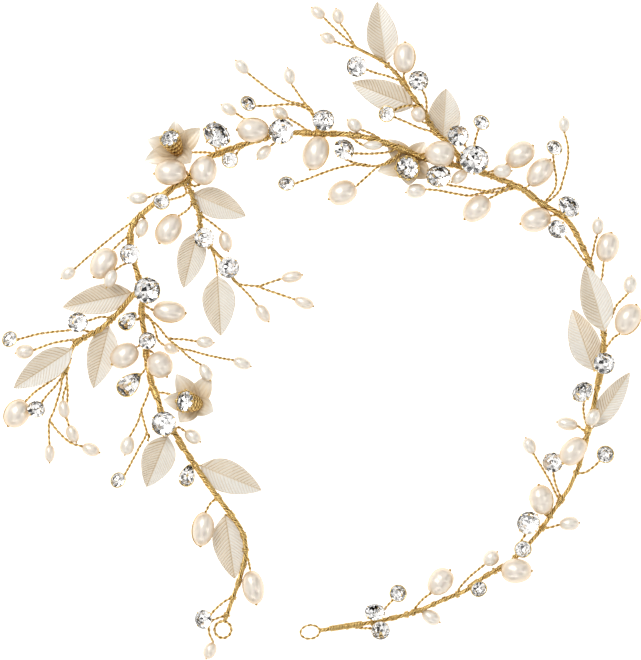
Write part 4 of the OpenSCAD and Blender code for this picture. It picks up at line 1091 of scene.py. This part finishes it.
def build_section(body):
    stem = stem_line(body)
    wires = Shape()
    build_stem(body)
    build_pearls(body, "pearls", "pearl", NACRE, wires, stem)
    build_pearls(body, "rice_pearls", "rice_pearl", RICE_NACRE, wires, stem)
    crystals = first_named(body + "_crystals", body + "_crystal")
    leaves = first_named(body + "_leaves", body + "_leaf")
    if crystals:
        gems = [measure_stone(i) for i in islands(crystals)]
        build_stones(body, crystals, gems, wires, stem)
    if leaves:
        build_leaves(body, leaves, wires, stem)
    if body in FLOWERS:
        build_flowers(body, gems, wires, stem)
    for link in LINKS.get(body, []):
        rope(wires, smooth([lift(p) for p in link], WIRE_STEP), SPRIG_R, 2, 3.0, crevice_shade=0.45)
    put(wires, body + "_sprig_wires", "gold_wire", GOLD)
    if body + "_bindings" in frame["nodes"]:
        build_bindings(body + "_bindings")


def build_eyelets():
    """A ring of two twisted strands at each end, which the strands of the stem run into."""
    for node, wire_r in (("left_tail_eyelet", 0.5), ("right_tail_eyelet", 0.42)):
        points = islands(node)[0]
        middle = (points.min(0) + points.max(0)) / 2
        normal = thin_axis(points, middle)
        normal *= np.sign(normal[2])
        side = unit(np.cross([0, 1, 0], normal))
        up = np.cross(normal, side)
        reach = gaps(points, middle).max() - wire_r
        turn = full_turn(96)[:, None]
        ring = middle + reach * (np.cos(turn) * side + np.sin(turn) * up)
        shape = Shape()
        rope(shape, ring, wire_r, 2, math.tau * reach / 5, closed=True, crevice_shade=0.3)
        stem = stem_line(node.removesuffix("_eyelet"))
        end = stem[gaps(stem, middle).argmin()]
        k = int(gaps(ring, end).argmin())
        into = unit(ring[k] - end)
        for swing in (-1, 1):  # the strands leave the stem and follow the ring both ways
            bow = [ring[(k + swing * i) % len(ring)] for i in (4, 8, 12)]
            line = smooth([end - into * 0.6, ring[k] - into * 0.2, *bow], BEND_STEP)
            rope(shape, line, 0.36, 2, 3, crevice_shade=0.3)
        coil(shape, end, into, 0.5, 3.2, WRAP_R, 0.4, 0.7)
        put(shape, node, "gold_wire", GOLD)


def towards(body, bend):
    """Where a section's stem runs to from the bend, or the stem's nearest point if it passes by."""
    line = stem_line(body)
    gap = gaps(line, bend)
    k = int(gap.argmin())
    if gap[k] > BEND_REACH + 0.1:
        return line[k]
    steps = 12 if k < len(line) / 2 else -12
    return line[np.clip(k + steps, 0, len(line) - 1)]


def build_bends():
    """The rope that carries on across each bend and turns smoothly between its two sections."""
    for joint in frame["joints"]:
        bend = lift(BENDS[joint["name"]])
        parent, child = joint["parent"], joint["child"]
        ends = [towards(parent, bend), towards(child, bend)]
        reach = [bend + unit(q - bend) * min(BEND_REACH, np.linalg.norm(q - bend)) for q in ends]
        line = smooth([reach[0], bend, reach[1]], BEND_STEP)
        radius = min(STEM_RADII[parent][1], STEM_RADII[child][0])
        shape = Shape()
        rope(shape, line, radius * 1.02, STEM_STRANDS, STEM_PITCH, start=0.4)
        # painted shade: the core, seen only between the strands, takes a deep tone
        tube(shape, line, radius * STEM_CORE, 0.9)
        made = shape.piece(joint["name"] + "_rope", [GOLD])
        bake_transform(made)


for body in STEMS:
    build_section(body)
build_eyelets()
build_bends()


# ---- floor, lights and camera

def build_floor():
    half = 3
    mesh = bpy.data.meshes.new("floor")
    mesh.from_pydata([(-half, -half, 0), (half, -half, 0), (half, half, 0), (-half, half, 0)], [],
                     [(0, 1, 2, 3)])
    mesh.materials.append(shader("floor_white", Base_Color=(0.9, 0.9, 0.9, 1), Roughness=0.9,
                                 Emission_Color=(1, 1, 1, 1), Emission_Strength=0.86)[0])
    floor = in_scene("floor", mesh)


def softbox(name, place, size, watts):
    light = bpy.data.lights.new(name, "AREA")
    light.shape = "RECTANGLE"
    light.size, light.size_y = size
    light.energy = watts
    lamp = in_scene(name, light)
    lamp.location = place
    lamp.rotation_euler = (-Vector(place)).to_track_quat("-Z", "Y").to_euler()


def build_world():
    """A pale studio with darker stretches, so that metal and stones have something to reflect."""
    world = bpy.data.worlds.new("studio")
    world.use_nodes = True
    tree = world.node_tree
    background = tree.nodes["Background"]
    stops = [(0.41, (0.05, 0.05, 0.05)), (0.46, (0.7, 0.7, 0.7)), (0.54, (1.5, 1.5, 1.5))]
    tree.links.new(colours(tree, noise(tree, 2.1, 1.0, "Generated"), stops), background.inputs["Color"])
    rays = tree.nodes.new("ShaderNodeLightPath")
    strength = tree.nodes.new("ShaderNodeMapRange")
    set_inputs(strength, To_Min=0.76, To_Max=0.43)  # for metal and stones, and for matt surfaces
    tree.links.new(rays.outputs["Is Diffuse Ray"], strength.inputs["Value"])
    tree.links.new(strength.outputs["Result"], background.inputs["Strength"])
    bpy.context.scene.world = world


def build_camera():
    data = bpy.data.cameras.new("camera")
    distance, view_height = 1.5, 0.198
    data.sensor_fit = "VERTICAL"
    data.sensor_height = 36
    data.sensor_width = 36
    data.lens = data.sensor_height * distance / view_height
    data.clip_end = 20
    camera = in_scene("camera", data)
    camera.location = (0, 0, distance + 0.005)
    bpy.context.scene.camera = camera


build_floor()
softbox("key", (-0.35, 0.4, 0.8), (0.4, 0.6), 3.4)
softbox("fill", (0.6, -0.2, 0.6), (0.2, 0.6), 0.85)
softbox("low", (-0.1, -0.7, 0.45), (0.5, 0.15), 0.5)
build_world()
build_camera()
bpy.context.scene.view_settings.view_transform = "Standard"
